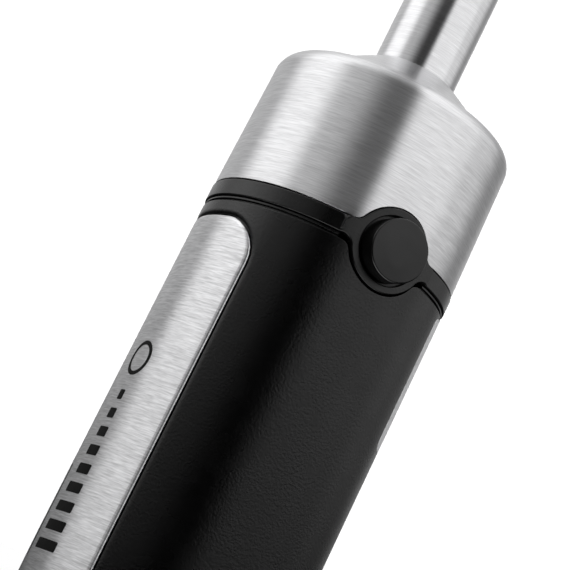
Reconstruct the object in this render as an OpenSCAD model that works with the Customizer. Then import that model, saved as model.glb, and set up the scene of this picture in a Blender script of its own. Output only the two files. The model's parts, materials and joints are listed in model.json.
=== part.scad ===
// Stick blender: a motor handle and a pull-off blending leg, without its mains lead.
// The axis is Z. The leg points down and stands on the rim of its bell, the handle points up.
// The front (-Y) carries the steel trim panel and the two power buttons, the sides (+X, -X) the release buttons.

/* [Leg] */
// Height of the joint plane between the leg's collar and the handle's band
joint_z = 208; // [200:1:214]
// Radius of the blending tube
tube_r = 11; // [11:0.1:11.4]
// Radius of the bell's skirt
bell_r = 34; // [34:0.5:35]
// Radius of the collar at its rim
collar_r = 32.8; // [32.6:0.05:32.9]

/* [Handle] */
// Radius of the grip
grip_r = 32.8; // [32.7:0.05:32.9]
// Height of the grip's sleeve above the joint plane
sleeve_h = 164; // [164:0.5:166]
// Wall of the grip's sleeve
sleeve_wall = 2.4; // [2.2:0.1:2.5]

/* [Release buttons] */
// Radius of the round release button
button_r = 7.7; // [7.5:0.05:7.9]
// How far a release button stands out of its surround
button_proud = 4; // [3.6:0.1:4.4]

/* [Cable inlet] */
// Radius of the hole for the mains lead
inlet_r = 3.6; // [3.2:0.1:3.8]

/* [Hidden] */
$fn = 96;

// Bell: a skirt, a domed shoulder and a hollow sweep up to the tube
bell_wall = 1.3;
bell_h = 52;
sweep_r = 8;
dome_r = 2 * (bell_r - tube_r - sweep_r / 2);
dome_x = bell_r - dome_r;
dome_z = bell_h - sweep_r * sin(60) - dome_r * sin(60);
notch_r = 8;
notch_z = 5;

// Hub of the bell, with the lower bush and its seal
hub_low_z = 30;
hub_r = 12.5;
hub_seal_r = 7.5;
bush_r = 6;
bush_h = 14;

// Tube, neck and collar
neck_z = joint_z - 48;
collar_low_z = joint_z - 38.1;
collar_corner = 4.5;
collar_taper = 0.6;
collar_wall = 1.4;
cone_r = 26.2;
cone_t = 1.4;
tube_wall = 1.2;

// Shafts. A running fit has this much room all round
running = 0.03;
shaft_r = 3.5;
shaft_low_z = 14;
shaft_top_z = joint_z - 24;
motor_shaft_r = 4;

// Blades, from the centre of their hub to the tip
blade_reach = 25;
blade_t = 1.3;
lower_blade_z = 18.5;

// Coupling between the shafts: the cross-shaped dog and the cup it drops into
cup_r = 8.5;
cup_low_z = joint_z - 35;
cup_top_z = joint_z - 9;
dog_low_z = joint_z - 21;
dog_core = 5;
dog_reach = 6.8;
dog_width = 3;
dog_gap = 0.25;

// Band, surround and release buttons
rim_z = joint_z + 0.8;
joint_gap = 0.3;
band_z = rim_z + joint_gap;
band_h = 4.3;
rib_h = 1.3;
band_top_z = band_z + band_h + rib_h;
band_r = 33;
band_in_r = 27;
button_z = joint_z + 3.6;
surround_r = 10.2;
surround_face = 33.25;
surround_in = 30.6;
hole_r = 8.35;
corner_r = 3;
lip_r = hole_r + 0.7;
lip_x = 30.2;
lip_pocket_r = hole_r + 1.2;
lip_pocket_x = lip_x + 0.3;
button_face = surround_face + button_proud;
tongue_x = 21.6;
tongue_w = 8;
tongue_low_z = joint_z - 15;
tongue_top_z = joint_z - 2;
spring_seat_x = 26;
spring_z = button_z + 0.6;

// Spigot that carries the leg, and the sliding fit around it
spigot_r = 24;
spigot_in_r = 21;
spigot_low_z = joint_z - 22;
spigot_floor_z = joint_z + 0.4;
spigot_top_z = joint_z + 8;
socket_r = 24.4;
socket_out_r = 30.3;
socket_floor_z = joint_z - 24;
spigot_screw_at = 18.3;

// Grip sleeve
sleeve_z = joint_z + 6.8;
sleeve_top_z = joint_z + sleeve_h;
sleeve_in_r = grip_r - sleeve_wall;
taper_z = joint_z + 92;
taper_drop = 4.2;
panel_half_w = 19.2;
panel_low_z = joint_z + 10.9;
panel_top_z = joint_z + 152;
panel_corner = 10.2;
panel_t = 0.8;
plate_half_w = 21.6;
plate_low_z = joint_z + 7.6;
plate_top_z = joint_z + 43.8;
plate_corner = 2.2;
plate_t = 0.5;
power_z = joint_z + 122;
turbo_z = joint_z + 140;
key_w = 13;
key_h = 14;
key_corner = 4.5;
key_lip = 1.4;
key_gap = 0.35;
stem_end_y = -23.2;
vent_z = joint_z + 124;

// Inner chassis
chassis_r = 29.8;
chassis_in_r = 25.5;
chassis_z = joint_z + 15;
chassis_screw_r = 1.1;
motor_bay_top_z = joint_z + 104;
board_bay_top_z = joint_z + 146;
board_y = -14;
board_half_w = 11.7;
board_low_z = joint_z + 108;

// Motor stack
fan_z = joint_z + 24;
core_z = joint_z + 38;
core_h = 38;
core_top_z = core_z + core_h;
core_r = 25;
bore_r = 14.3;
coil_end = 4;
armature_r = 13.6;
winding_r = 12.2;
commutator_r = 9;
commutator_z = core_top_z + 6.5;
commutator_h = 12;
bracket_r = 22;
bracket_z = joint_z + 15;
bracket_gap = 88;
bearing_r = 9.5;
bearing_h = 6;
bolt_at = 22.7;
poles = 12;

// Dial
dial_z = sleeve_top_z + 0.6;
dial_h = 18.2;
dial_top_z = dial_z + dial_h;
dial_r = 28.4;
boss_r = 13.9;
finger_at = 20;
finger_r = 1.6;
finger_angle = 135;
dial_sweep = 270;
track_z = sleeve_top_z - 14.4;
track_t = 1.7;
wiper_z = track_z + 3.4;
post_at = 16;
cap_flange_z = sleeve_top_z - 6;
cable_cap_z = dial_top_z + 0.4;
inlet_out_r = 5.6;

// ---------- helpers ----------

// Points of an arc about (cx, cy), from angle a0 to a1 in n steps
function arc(cx, cy, r, a0, a1, n) =
    [for (i = [0:n]) let (a = a0 + (a1 - a0) * i / n) [cx + r * cos(a), cy + r * sin(a)]];

function reversed(list) = [for (i = [len(list) - 1:-1:0]) list[i]];

// Outer radius of the grip at a height: straight, then drawn in towards the dial
function grip_at(z) = grip_r - taper_drop * pow(max(0, z - taper_z) / (sleeve_top_z - taper_z), 2);

// Outline points of a layer of the grip's wall, from depth a to depth b under its surface
function grip_layer(z0, z1, a, b, n = 14) =
    let (side = [for (i = [0:n]) z0 + (z1 - z0) * i / n])
    concat([for (z = side) [grip_at(z) - a, z]], [for (z = reversed(side)) [grip_at(z) - b, z]]);

module ring(r, inner, z0, z1) {
    difference() {
        translate([0, 0, z0]) cylinder(r = r, h = z1 - z0);
        translate([0, 0, z0 - 1]) cylinder(r = inner, h = z1 - z0 + 2);
    }
}

// Cylinder along +X, from x0 to x1, at height z
module cross_pin(r, x0, x1, z, y = 0) {
    translate([x0, y, z]) rotate([0, 90, 0]) cylinder(r = r, h = x1 - x0);
}

module block(x0, x1, y0, y1, z0, z1) {
    translate([x0, y0, z0]) cube([x1 - x0, y1 - y0, z1 - z0]);
}

// The same thing on both sides of the axis
module both_sides() {
    children();
    rotate([0, 0, 180]) children();
}

// Everything between two angles, as a wedge
module wedge(a0, a1, r, z0, z1) {
    n = max(2, ceil((a1 - a0) / 30));
    translate([0, 0, z0]) linear_extrude(z1 - z0) polygon(concat([[0, 0]], arc(0, 0, r, a0, a1, n)));
}

// A plate outline with round corners, centred on X = 0
module plate_2d(half_w, z0, z1, r) {
    translate([-half_w, z0 + r]) square([2 * half_w, z1 - z0 - 2 * r]);
    translate([-half_w + r, z0]) square([2 * (half_w - r), z1 - z0]);
    for (x = [-half_w + r, half_w - r], z = [z0 + r, z1 - r]) translate([x, z]) circle(r = r);
}

// Stands a 2D shape (x, z) up and extrudes it along Y, from y0 to y1
module stand_up(y0, y1) {
    translate([0, y1, 0]) rotate([90, 0, 0]) linear_extrude(y1 - y0) children();
}

// Outline (y, z) of the band with its round surround, grown by g, with blended inner corners
module surround_2d(g) {
    r = surround_r + g;
    f = corner_r - g;
    up = band_top_z - button_z + g;
    down = button_z - band_z + g;
    xu = sqrt(pow(r + f, 2) - pow(up + f, 2));
    xd = sqrt(pow(r + f, 2) - pow(down + f, 2));
    au = atan2(up + f, xu);
    ad = atan2(down + f, xd);
    far = 40;
    right = concat(
        arc(0, 0, r, -90, -ad, 12), arc(xd, -down - f, f, 180 - ad, 90, 5), [[far, -down], [far, up]],
        arc(xu, up + f, f, 270, 180 + au, 5), arc(0, 0, r, au, 90, 12));
    translate([0, button_z]) polygon(concat(right, [for (p = reversed(right)) [-p[0], p[1]]]));
}

// The same outline as a prism on the +X side
module surround_prism(g) {
    translate([tongue_x, 0, 0]) rotate([90, 0, 90]) linear_extrude(grip_r) surround_2d(g);
}

// A coil spring along +Z: one round wire swept along a helix
module coil_spring(r, wire, length, turns) {
    steps = turns * 14;
    sides = 6;
    points = [for (i = [0:steps], j = [0:sides - 1])
        let (a = 360 * turns * i / steps, b = 360 * j / sides, at = r + wire * cos(b))
        [at * cos(a), at * sin(a), wire + (length - 2 * wire) * i / steps + wire * sin(b)]];
    walls = [for (i = [0:steps - 1], j = [0:sides - 1])
        let (k = (j + 1) % sides)
        [i * sides + j, (i + 1) * sides + j, (i + 1) * sides + k, i * sides + k]];
    caps = [[for (j = [0:sides - 1]) j], [for (j = [sides - 1:-1:0]) steps * sides + j]];
    polyhedron(points = points, faces = concat(walls, caps), convexity = 10);
}

// A pan-head screw with a cross recess: its shank goes down from z = 0 and its head stands on it
module screw(shank_r, length, head_r, head_h) {
    translate([0, 0, -length]) cylinder(r = shank_r, h = length + 0.1);
    difference() {
        cylinder(r = head_r, h = head_h);
        for (a = [0, 90]) rotate([0, 0, a])
            block(-head_r * 0.6, head_r * 0.6, -0.35, 0.35, head_h * 0.4, head_h + 1);
    }
}

// ---------- leg ----------

// The bell's outline from skirt to tube, a depth t under its outer surface
function bell_line(t) = concat(
    arc(dome_x, dome_z, dome_r - t, 0, 60, 10),
    arc(tube_r + sweep_r, bell_h, sweep_r + t, 240, 180, 6));

module bell_guard() {
    color("silver") difference() {
        rotate_extrude() polygon(concat(
            [[bell_r - bell_wall, 0], [bell_r, 0]], bell_line(0), reversed(bell_line(bell_wall))));
        for (a = [0:90:270]) rotate([0, 0, a]) {
            cross_pin(notch_r, bell_r - 12, bell_r + 6, notch_z);
            block(bell_r - 12, bell_r + 6, -notch_r, notch_r, -1, notch_z);
        }
    }
}

module bell_hub() {
    seal_h = 3.6;
    color("dimgray") difference() {
        rotate_extrude() polygon(concat(
            [[0, hub_low_z], [hub_r - 1, hub_low_z], [hub_r, hub_low_z + 1]],
            arc(tube_r + sweep_r, bell_h, sweep_r + bell_wall + 0.05, 226, 182, 6), [[0, bell_h - 0.4]]));
        translate([0, 0, hub_low_z - 1]) cylinder(r = bush_r, h = bell_h);
        translate([0, 0, hub_low_z - 1]) cylinder(r = hub_seal_r, h = seal_h + 1);
    }
}

// A plain bronze bush for the drive shaft
module bush(z) {
    color("goldenrod") ring(bush_r, shaft_r + running, z, z + bush_h);
}

module lower_bush() {
    bush(hub_low_z + 4);
}

module upper_bush() {
    bush(neck_z - 1.7);
}

module lower_seal() {
    groove_r = 0.8;
    color("black") difference() {
        ring(hub_seal_r, shaft_r + 0.1, hub_low_z + 0.4, hub_low_z + 3.6);
        rotate_extrude() translate([5.6, hub_low_z + 0.4]) circle(r = groove_r, $fn = 24);
    }
}

module leg_tube() {
    color("silver") ring(tube_r, tube_r - tube_wall, bell_h, neck_z);
}

// Star-shaped spacer half-way up the tube, which keeps a long shaft from whipping
module tube_guide() {
    middle = (bell_h + neck_z) / 2;
    color("ivory") difference() {
        ring(tube_r - tube_wall - 0.05, shaft_r + 0.15, middle - 4, middle + 4);
        for (a = [0:60:300]) rotate([0, 0, a]) translate([7, 0, middle - 5]) cylinder(r = 1.6, h = 10);
    }
}

module neck_cone() {
    color("silver") rotate_extrude() polygon([
        [tube_r - tube_wall, neck_z], [tube_r, neck_z], [cone_r, collar_low_z],
        [cone_r, collar_low_z + cone_t], [tube_r - tube_wall, neck_z + 2.5]]);
}

module leg_collar() {
    corner_x = collar_r - collar_taper - collar_corner;
    corner_z = collar_low_z + collar_corner;
    rim = 0.25;
    color("silver") difference() {
        rotate_extrude() polygon(concat(
            [[cone_r, collar_low_z + collar_wall], [cone_r, collar_low_z]],
            arc(corner_x, corner_z, collar_corner, 270, 360, 8),
            [[collar_r, rim_z - rim], [collar_r - rim, rim_z], [collar_r - collar_wall, rim_z]],
            arc(corner_x, corner_z, collar_corner - collar_wall, 360, 270, 8)));
        both_sides() surround_prism(joint_gap);
    }
}

// Insert in the collar: a bore for the spigot, a well for the coupling cup and a stem into the tube
module leg_socket() {
    stem_r = tube_r - tube_wall - 0.2;
    seat_z = collar_low_z + collar_wall;
    top_z = joint_z - 0.4;
    well_r = cup_r + 0.7;
    well_z = cup_low_z - 0.4;
    lead_in = 0.5;
    slot_w = tongue_w / 2 + 1.4;
    slot_x = tongue_x + 4.7;
    color("dimgray") difference() {
        rotate_extrude() polygon([
            [bush_r, neck_z - 2.7], [stem_r, neck_z - 2.7], [stem_r, seat_z], [socket_out_r - 3, seat_z],
            [socket_out_r, seat_z + 4.8], [socket_out_r, top_z], [socket_r + lead_in, top_z],
            [socket_r, top_z - lead_in], [socket_r, socket_floor_z], [well_r, socket_floor_z],
            [well_r, well_z], [bush_r, well_z]]);
        both_sides() {
            cross_pin(lip_pocket_r + 1.4, spring_seat_x + 0.4, grip_r, button_z);
            block(socket_in_x(), slot_x, -slot_w, slot_w, tongue_low_z - 5, joint_z);
            block(slot_x - 0.1, grip_r, -slot_w, slot_w, tongue_low_z + 6, joint_z);
        }
    }
}

// Where the tongue's slot starts, inside the socket's bore
function socket_in_x() = socket_r - 4;

module drive_shaft() {
    color("lightgray") translate([0, 0, shaft_low_z]) cylinder(r = shaft_r, h = shaft_top_z - shaft_low_z);
}

// Cross with a round core: the shape that the dog and its cup share
module lobes(core, reach, width, z0, z1) {
    translate([0, 0, z0]) {
        cylinder(r = core, h = z1 - z0);
        intersection() {
            cylinder(r = reach, h = z1 - z0);
            for (a = [0, 90]) rotate([0, 0, a]) block(-10, 10, -width / 2, width / 2, 0, z1 - z0);
        }
    }
}

module shaft_coupling() {
    color("black") difference() {
        translate([0, 0, cup_low_z]) cylinder(r = cup_r, h = cup_top_z - cup_low_z);
        translate([0, 0, cup_low_z - 1]) cylinder(r = shaft_r, h = shaft_top_z - cup_low_z + 1);
        lobes(dog_core + dog_gap, dog_reach + dog_gap, dog_width + 2 * dog_gap, dog_low_z - 1.5, cup_top_z + 1);
    }
}

module thrust_washer() {
    color("lightgray") ring(6, shaft_r, hub_low_z - 1.6, hub_low_z - 0.6);
}

module blade_hub() {
    low_z = lower_blade_z + 2 * blade_t + 0.1;
    top_z = hub_low_z - 1.6;
    flange_r = 6.5;
    color("lightgray") difference() {
        union() {
            ring(5, shaft_r, low_z, top_z);
            ring(flange_r, shaft_r, low_z + 3, low_z + 5.6);
        }
        for (a = [0:60:300]) rotate([0, 0, a]) translate([flange_r + 0.4, 0, low_z + 2]) cylinder(r = 0.9, h = 5);
    }
}

module blade_nut() {
    low_z = shaft_low_z - 1;
    color("lightgray") difference() {
        union() {
            translate([0, 0, low_z]) cylinder(r = 5, h = lower_blade_z - 0.1 - low_z, $fn = 6);
            translate([0, 0, low_z - 0.6]) cylinder(r = 3.6, h = 0.8);
        }
        translate([0, 0, shaft_low_z]) cylinder(r = shaft_r, h = 6);
    }
}

// One blade: a bored centre with two swept wings, each turned up or down and ground along its leading edge
module blade(z, droop, turn) {
    root = 4.5;
    color("gainsboro") rotate([0, 0, turn]) difference() {
        union() {
            translate([0, 0, z]) cylinder(r = 6.2, h = blade_t);
            both_sides() translate([root, 0, z + blade_t / 2]) rotate([0, droop, 0]) difference() {
                translate([0, 0, -blade_t / 2]) linear_extrude(blade_t) polygon([
                    [0, -4.4], [11, -5], [blade_reach - root, -1.2], [blade_reach - root + 0.9, 1.6],
                    [blade_reach - root - 1.5, 3.8], [9, 4.8], [0, 4.4]]);
                translate([14, -7, 0.1]) rotate([28, 0, 10]) cube([24, 7, 4], center = true);
            }
        }
        translate([0, 0, z - 8]) cylinder(r = shaft_r, h = 16);
    }
}

module lower_blade() {
    blade(lower_blade_z, 9, 0);
}

module upper_blade() {
    blade(lower_blade_z + blade_t + 0.05, -16, 90);
}

// ---------- band, spigot and release ----------

module coupling_band() {
    groove_z = band_z + band_h;
    groove_depth = 0.9;
    rib_r = band_r - 0.4;
    edge = 0.2;
    color("#2b2b2b") difference() {
        union() {
            rotate_extrude() polygon([
                [band_in_r, band_z], [band_r - 0.45, band_z], [band_r - 0.25, band_z + edge],
                [band_r, groove_z - edge], [band_r - edge, groove_z], [band_r - groove_depth, groove_z + 0.15],
                [rib_r, groove_z + 0.35], [rib_r, groove_z + 0.85], [band_r - groove_depth, groove_z + 1],
                [band_r - groove_depth, band_top_z], [band_in_r, band_top_z]]);
            both_sides() intersection() {
                ring(surround_face, surround_in, button_z - 15, button_z + 15);
                surround_prism(0);
                cross_pin(surround_r + corner_r, tongue_x, grip_r + 8, button_z);
            }
        }
        both_sides() {
            cross_pin(hole_r, tongue_x, grip_r + 8, button_z);
            cross_pin(lip_pocket_r, tongue_x, lip_pocket_x, button_z);
        }
    }
}

// Nose of the handle that plugs into the leg's socket, with slots for the latch tongues
module spigot() {
    nose = 0.6;
    flange_z = band_top_z;
    flange_r = sleeve_in_r - 0.05;
    seat_r = 14;
    seat_z = spigot_floor_z + 4;
    seal_r = 6.5;
    color("#333333") difference() {
        rotate_extrude() polygon([
            [spigot_in_r, spigot_low_z], [spigot_r - nose, spigot_low_z], [spigot_r, spigot_low_z + nose],
            [spigot_r, spigot_floor_z], [band_in_r, spigot_floor_z], [band_in_r, flange_z],
            [flange_r, flange_z], [flange_r, spigot_top_z], [seat_r, spigot_top_z], [seat_r, seat_z],
            [seal_r, seat_z], [seal_r, spigot_floor_z], [spigot_in_r, spigot_floor_z]]);
        both_sides() {
            block(spigot_in_r - 6, grip_r, -tongue_w / 2 - 0.4, tongue_w / 2 + 0.4,
                tongue_low_z - 4, spigot_floor_z - 0.6);
            cross_pin(lip_pocket_r, spring_seat_x, grip_r, button_z);
        }
        for (a = [60, 120, 240, 300]) rotate([0, 0, a])
            translate([spigot_screw_at, 0, spigot_floor_z - 1]) cylinder(r = 1.4, h = 12);
    }
}

module spigot_seal() {
    color("black") ring(6.5, motor_shaft_r + 0.1, spigot_floor_z + 0.2, spigot_floor_z + 3.8);
}

module spigot_screws() {
    color("silver") for (a = [60, 120, 240, 300]) rotate([0, 0, a])
        translate([spigot_screw_at, 0, spigot_floor_z]) rotate([180, 0, 0]) screw(1.4, 12, 2.5, 1.5);
}

// Cup-shaped button with a retaining lip and a latch tongue that reaches down into the spigot, on the +X side
module release_button() {
    depth = button_face - lip_x;
    edge = 0.5;
    wall = 1.7;
    tongue_t = 2.2;
    arm_z = tongue_top_z - 1.8;
    hook_x = tongue_x + tongue_t;
    color("#2f2f2f") {
        difference() {
            translate([lip_x - 1, 0, button_z]) rotate([0, 90, 0]) rotate_extrude() polygon([
                [0, 0], [lip_r, 0], [lip_r, 1], [button_r, 1],
                [button_r, depth + 1 - edge], [button_r - edge, depth + 1], [0, depth + 1]]);
            cross_pin(button_r - wall, lip_x - 2, button_face - wall, button_z);
        }
        block(tongue_x, hook_x, -tongue_w / 2, tongue_w / 2, tongue_low_z, tongue_top_z);
        block(hook_x - 0.1, lip_x - 0.5, -tongue_w / 2, tongue_w / 2, arm_z, tongue_top_z);
        stand_up(-tongue_w / 2, tongue_w / 2) translate([hook_x - 0.1, tongue_low_z])
            polygon([[0, 0], [1.9, 2.4], [1.9, 3.5], [0, 3.5]]);
    }
}

module release_button_right() {
    release_button();
}

module release_button_left() {
    rotate([0, 0, 180]) release_button();
}

// From its seat in the spigot's flange to the inside of the button's face
module release_spring() {
    wire = 0.35;
    color("silver") translate([spring_seat_x + 0.05, 0, spring_z]) rotate([0, 90, 0])
        coil_spring(3.35, wire, button_face - 1.8 - spring_seat_x, 6);
}

module release_spring_right() {
    release_spring();
}

module release_spring_left() {
    rotate([0, 0, 180]) release_spring();
}

// ---------- grip ----------

module key_2d(z, grow) {
    plate_2d(key_w / 2 + grow, z - key_h / 2 - grow, z + key_h / 2 + grow, key_corner + grow);
}

module vent_slots() {
    slot = 12;
    slot_r = 0.9;
    for (i = [0:6]) stand_up(0, grip_r + 8) translate([0, vent_z + i * 4]) {
        square([slot, 2 * slot_r], center = true);
        for (x = [-slot / 2, slot / 2]) translate([x, 0]) circle(r = slot_r, $fn = 24);
    }
}

module grip_sleeve() {
    color("#242424") difference() {
        rotate_extrude() polygon(grip_layer(sleeve_z, sleeve_top_z, 0, sleeve_wall));
        both_sides() surround_prism(0.4);
        intersection() {
            rotate_extrude() polygon(grip_layer(sleeve_z + 1, sleeve_top_z, -1, panel_t + 0.05));
            stand_up(-grip_r - 8, -5)
                plate_2d(panel_half_w + 0.3, panel_low_z - 0.3, panel_top_z + 0.3, panel_corner + 0.3);
        }
        intersection() {
            rotate_extrude() polygon(grip_layer(sleeve_z + 0.2, plate_top_z + 4, -1, plate_t, 2));
            stand_up(5, grip_r + 8)
                plate_2d(plate_half_w + 0.2, plate_low_z - 0.2, plate_top_z + 0.2, plate_corner + 0.2);
        }
        stand_up(-grip_r - 8, -5) {
            key_2d(power_z, key_gap);
            key_2d(turbo_z, key_gap);
        }
        vent_slots();
    }
}

module front_panel() {
    color("silver") difference() {
        intersection() {
            rotate_extrude() polygon(grip_layer(panel_low_z - 2, panel_top_z + 2, 0, panel_t));
            stand_up(-grip_r - 8, -5) plate_2d(panel_half_w, panel_low_z, panel_top_z, panel_corner);
        }
        stand_up(-grip_r - 8, -5) {
            key_2d(power_z, key_gap);
            key_2d(turbo_z, key_gap);
        }
    }
}

module rating_plate() {
    color("#c8c8c8") intersection() {
        rotate_extrude() polygon(grip_layer(plate_low_z - 1, plate_top_z + 1, 0, plate_t, 2));
        stand_up(5, grip_r + 8) plate_2d(plate_half_w, plate_low_z, plate_top_z, plate_corner);
    }
}

// Front face of a key's lip: just inside the narrowest part of the sleeve's wall that it lies behind
function key_lip_y(z) = 0.3 - sqrt(
    pow(grip_at(z + key_h / 2 + key_lip) - sleeve_wall, 2) - pow(key_w / 2 + key_lip, 2));

// A power button: a cap through the panel, a lip behind the sleeve's wall and a stem to its switch
module key_cap(z) {
    proud = 1.2;
    lip_t = 1.2;
    lip_y = key_lip_y(z);
    color("#303030") {
        stand_up(-grip_at(z) - proud, lip_y + 0.1) key_2d(z, 0);
        stand_up(lip_y, lip_y + lip_t) key_2d(z, key_lip);
        translate([0, lip_y + lip_t - 0.1, z]) rotate([-90, 0, 0])
            cylinder(r = 2, h = stem_end_y - lip_y - lip_t + 0.1);
    }
}

module power_button() {
    key_cap(power_z);
}

module turbo_button() {
    key_cap(turbo_z);
}

// Spring between a key's lip and the control board, around the stem and the switch
module key_spring(z) {
    start_y = key_lip_y(z) + 1.25;
    color("silver") translate([0, start_y, z]) rotate([-90, 0, 0])
        coil_spring(5, 0.3, board_y - 0.85 - start_y, 6);
}

module power_spring() {
    key_spring(power_z);
}

module turbo_spring() {
    key_spring(turbo_z);
}

// ---------- chassis and motor ----------

// Places of the screws that hold the two halves of the chassis together, with their heads towards +X
module at_chassis_screws() {
    for (y = [-27.2, 27.2], z = [chassis_z + 8, motor_bay_top_z - 9])
        translate([5.5, y, z]) rotate([0, 90, 0]) children();
}

// Half of the inner carrier, on the +X side, with a foot on the spigot and rails for the control board
module chassis_half() {
    rail_x = board_half_w + 0.1;
    rail_y = board_y + 2.6;
    rail_back_y = board_y - 2.6;
    foot_z = spigot_top_z;
    difference() {
        union() {
            ring(chassis_r, chassis_in_r, chassis_z, motor_bay_top_z);
            for (z = [chassis_z, taper_z - 4]) ring(sleeve_in_r - 0.05, chassis_in_r, z, z + 4);
            for (a = [45, 225]) intersection() {
                union() {
                    ring(chassis_r, chassis_in_r, foot_z, chassis_z + 1);
                    ring(chassis_r, 15.5, foot_z, foot_z + 5);
                }
                wedge(a, a + 90, grip_r + 20, foot_z - 1, chassis_z + 2);
            }
            ring(chassis_r, bracket_r + 0.6, motor_bay_top_z - 2, motor_bay_top_z);
            ring(25.8, bracket_r + 0.6, motor_bay_top_z, board_bay_top_z);
            ring(25.8, 24.8, board_bay_top_z, cap_flange_z);
            block(rail_x, 20, rail_back_y, rail_y, board_low_z - 2, board_bay_top_z - 1);
            block(rail_x - 2, rail_x + 0.1, rail_back_y, rail_y, board_low_z - 2, board_low_z);
            for (y = [rail_back_y, board_y + 1])
                block(rail_x - 2, rail_x + 0.1, y, y + 1.6, board_low_z - 2, board_bay_top_z - 1);
        }
        block(-40, 0.03, -40, 40, joint_z, sleeve_top_z + 20);
        block(-1, rail_x - 2, -40, -10, motor_bay_top_z + 4, board_bay_top_z + 6);
        for (z = [core_z + 2, core_z + 26]) block(-1, 12, -40, 40, z, z + 16);
        for (a = [-38, 0, 38], z = [core_z - 4, core_z + 18, core_z + 40])
            rotate([0, 0, a]) block(20, 40, -6, 6, z, z + 14);
        at_chassis_screws() {
            translate([0, 0, -8]) cylinder(r = chassis_screw_r, h = 10);
            cylinder(r = 2.5, h = 12);
        }
        translate([bolt_at, 0, motor_bay_top_z - 3]) cylinder(r = 3, h = 4);
        for (a = [60, -60]) rotate([0, 0, a])
            translate([spigot_screw_at, 0, foot_z - 1]) cylinder(r = 1.4, h = 5.4);
    }
}

module chassis_right() {
    color("dimgray") chassis_half();
}

module chassis_left() {
    color("dimgray") mirror([1, 0, 0]) chassis_half();
}

module chassis_screws() {
    color("silver") at_chassis_screws() screw(chassis_screw_r, 11, 2.2, 1.6);
}

// An end frame of the motor: a hub for the bearing, a rim, four arms and two ears for the long screws
module bracket() {
    rim = 5;
    hub_h = 7.4;
    hub = bearing_r + 3;
    difference() {
        union() {
            ring(bracket_r, bracket_r - 3.5, 1, 1 + rim);
            cylinder(r = hub, h = hub_h);
            for (a = [0, 90]) rotate([0, 0, a]) block(-bracket_r + 3, bracket_r - 3, -3, 3, 2, rim);
            both_sides() block(bracket_r - 3, core_r, -4, 4, 1, rim + 0.5);
        }
        translate([0, 0, -1]) cylinder(r = bearing_r, h = bearing_h + 1);
        translate([0, 0, -1]) cylinder(r = 7, h = hub_h + 2);
        both_sides() translate([bolt_at, 0, 0]) cylinder(r = 1.6, h = rim + 2);
    }
}

module lower_bracket() {
    color("#b0b0b0") translate([0, 0, bracket_z]) bracket();
}

module upper_bracket() {
    color("#b0b0b0") translate([0, 0, bracket_z + bracket_gap]) mirror([0, 0, 1]) bracket();
}

module bearings() {
    color("lightgray") for (z = [bracket_z, bracket_z + bracket_gap - bearing_h]) difference() {
        ring(bearing_r, motor_shaft_r + running, z, z + bearing_h);
        for (end = [z - 0.5, z + bearing_h - 0.5]) ring(8, 5.6, end, end + 1);
    }
}

// Rubber rings between the motor's end frames and the chassis
module motor_mounts() {
    color("black") for (z = [bracket_z + 1.1, bracket_z + bracket_gap - 5.9]) difference() {
        ring(chassis_in_r, bracket_r, z, z + 4.8);
        both_sides() block(bracket_r - 3, chassis_in_r + 1, -4.2, 4.2, z - 1, z + 6);
    }
}

module stator_core() {
    weld = 0.3;
    color("#7a7a80") difference() {
        ring(core_r, bore_r, core_z, core_top_z);
        for (a = [50, 230]) intersection() {
            ring(20.5, bore_r - 1, core_z - 1, core_top_z + 1);
            wedge(a, a + 80, grip_r, core_z - 1, core_top_z + 1);
        }
        both_sides() translate([bolt_at, 0, core_z - 1]) cylinder(r = 1.6, h = core_h + 2);
        for (i = [1:4]) translate([0, 0, core_z + i * core_h / 5]) ring(core_r + 1, core_r - weld, 0, 0.5);
    }
}

// One winding around each pole: it fills half of both slots and crosses over at both ends
module field_coils() {
    color("#b06a30") both_sides() difference() {
        intersection() {
            ring(20.2, bore_r + 0.7, core_z - coil_end, core_top_z + coil_end);
            wedge(-86, 86, grip_r + 20, core_z - coil_end - 1, core_top_z + coil_end + 1);
        }
        wedge(-52, 52, grip_r, core_z - 0.2, core_top_z + 0.2);
    }
}

module motor_screws() {
    color("silver") both_sides()
        translate([bolt_at, 0, bracket_z + bracket_gap - 1]) screw(1.55, bracket_gap - 3, 2.6, 1.5);
}

// Guides for the brushes, each hung from the upper end frame by an arm
module brush_holders() {
    arm_x = bracket_r - 3.4;
    color("#4a2e1c") both_sides() difference() {
        union() {
            block(commutator_r + 0.8, 21, -4, 4, commutator_z + 1, commutator_z + 11);
            block(arm_x, 21, -4, 4, commutator_z + 10, bracket_z + bracket_gap - 6);
        }
        block(commutator_r - 1, 22, -2.6, 2.6, commutator_z + 2.9, commutator_z + 9.1);
    }
}

module carbon_brushes() {
    color("#3a3a3a") both_sides() difference() {
        block(commutator_r - 0.6, 17, -2.5, 2.5, commutator_z + 3, commutator_z + 9);
        translate([0, 0, commutator_z]) cylinder(r = commutator_r + 0.08, h = commutator_h);
    }
}

module motor_shaft() {
    top_z = bracket_z + bracket_gap + 1;
    color("lightgray") translate([0, 0, dog_low_z + 2]) cylinder(r = motor_shaft_r, h = top_z - dog_low_z - 2);
}

module armature_core() {
    slot_r = winding_r + 0.2;
    color("#8a8a90") difference() {
        ring(armature_r, motor_shaft_r, core_z, core_top_z);
        for (i = [0:poles - 1]) rotate([0, 0, i * 360 / poles])
            translate([0, 0, core_z - 1]) linear_extrude(core_h + 2) polygon([
                [8.5, -0.8], [slot_r, -1.8], [slot_r, -0.6], [armature_r + 1, -0.6],
                [armature_r + 1, 0.6], [slot_r, 0.6], [slot_r, 1.8], [8.5, 0.8]]);
    }
}

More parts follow.
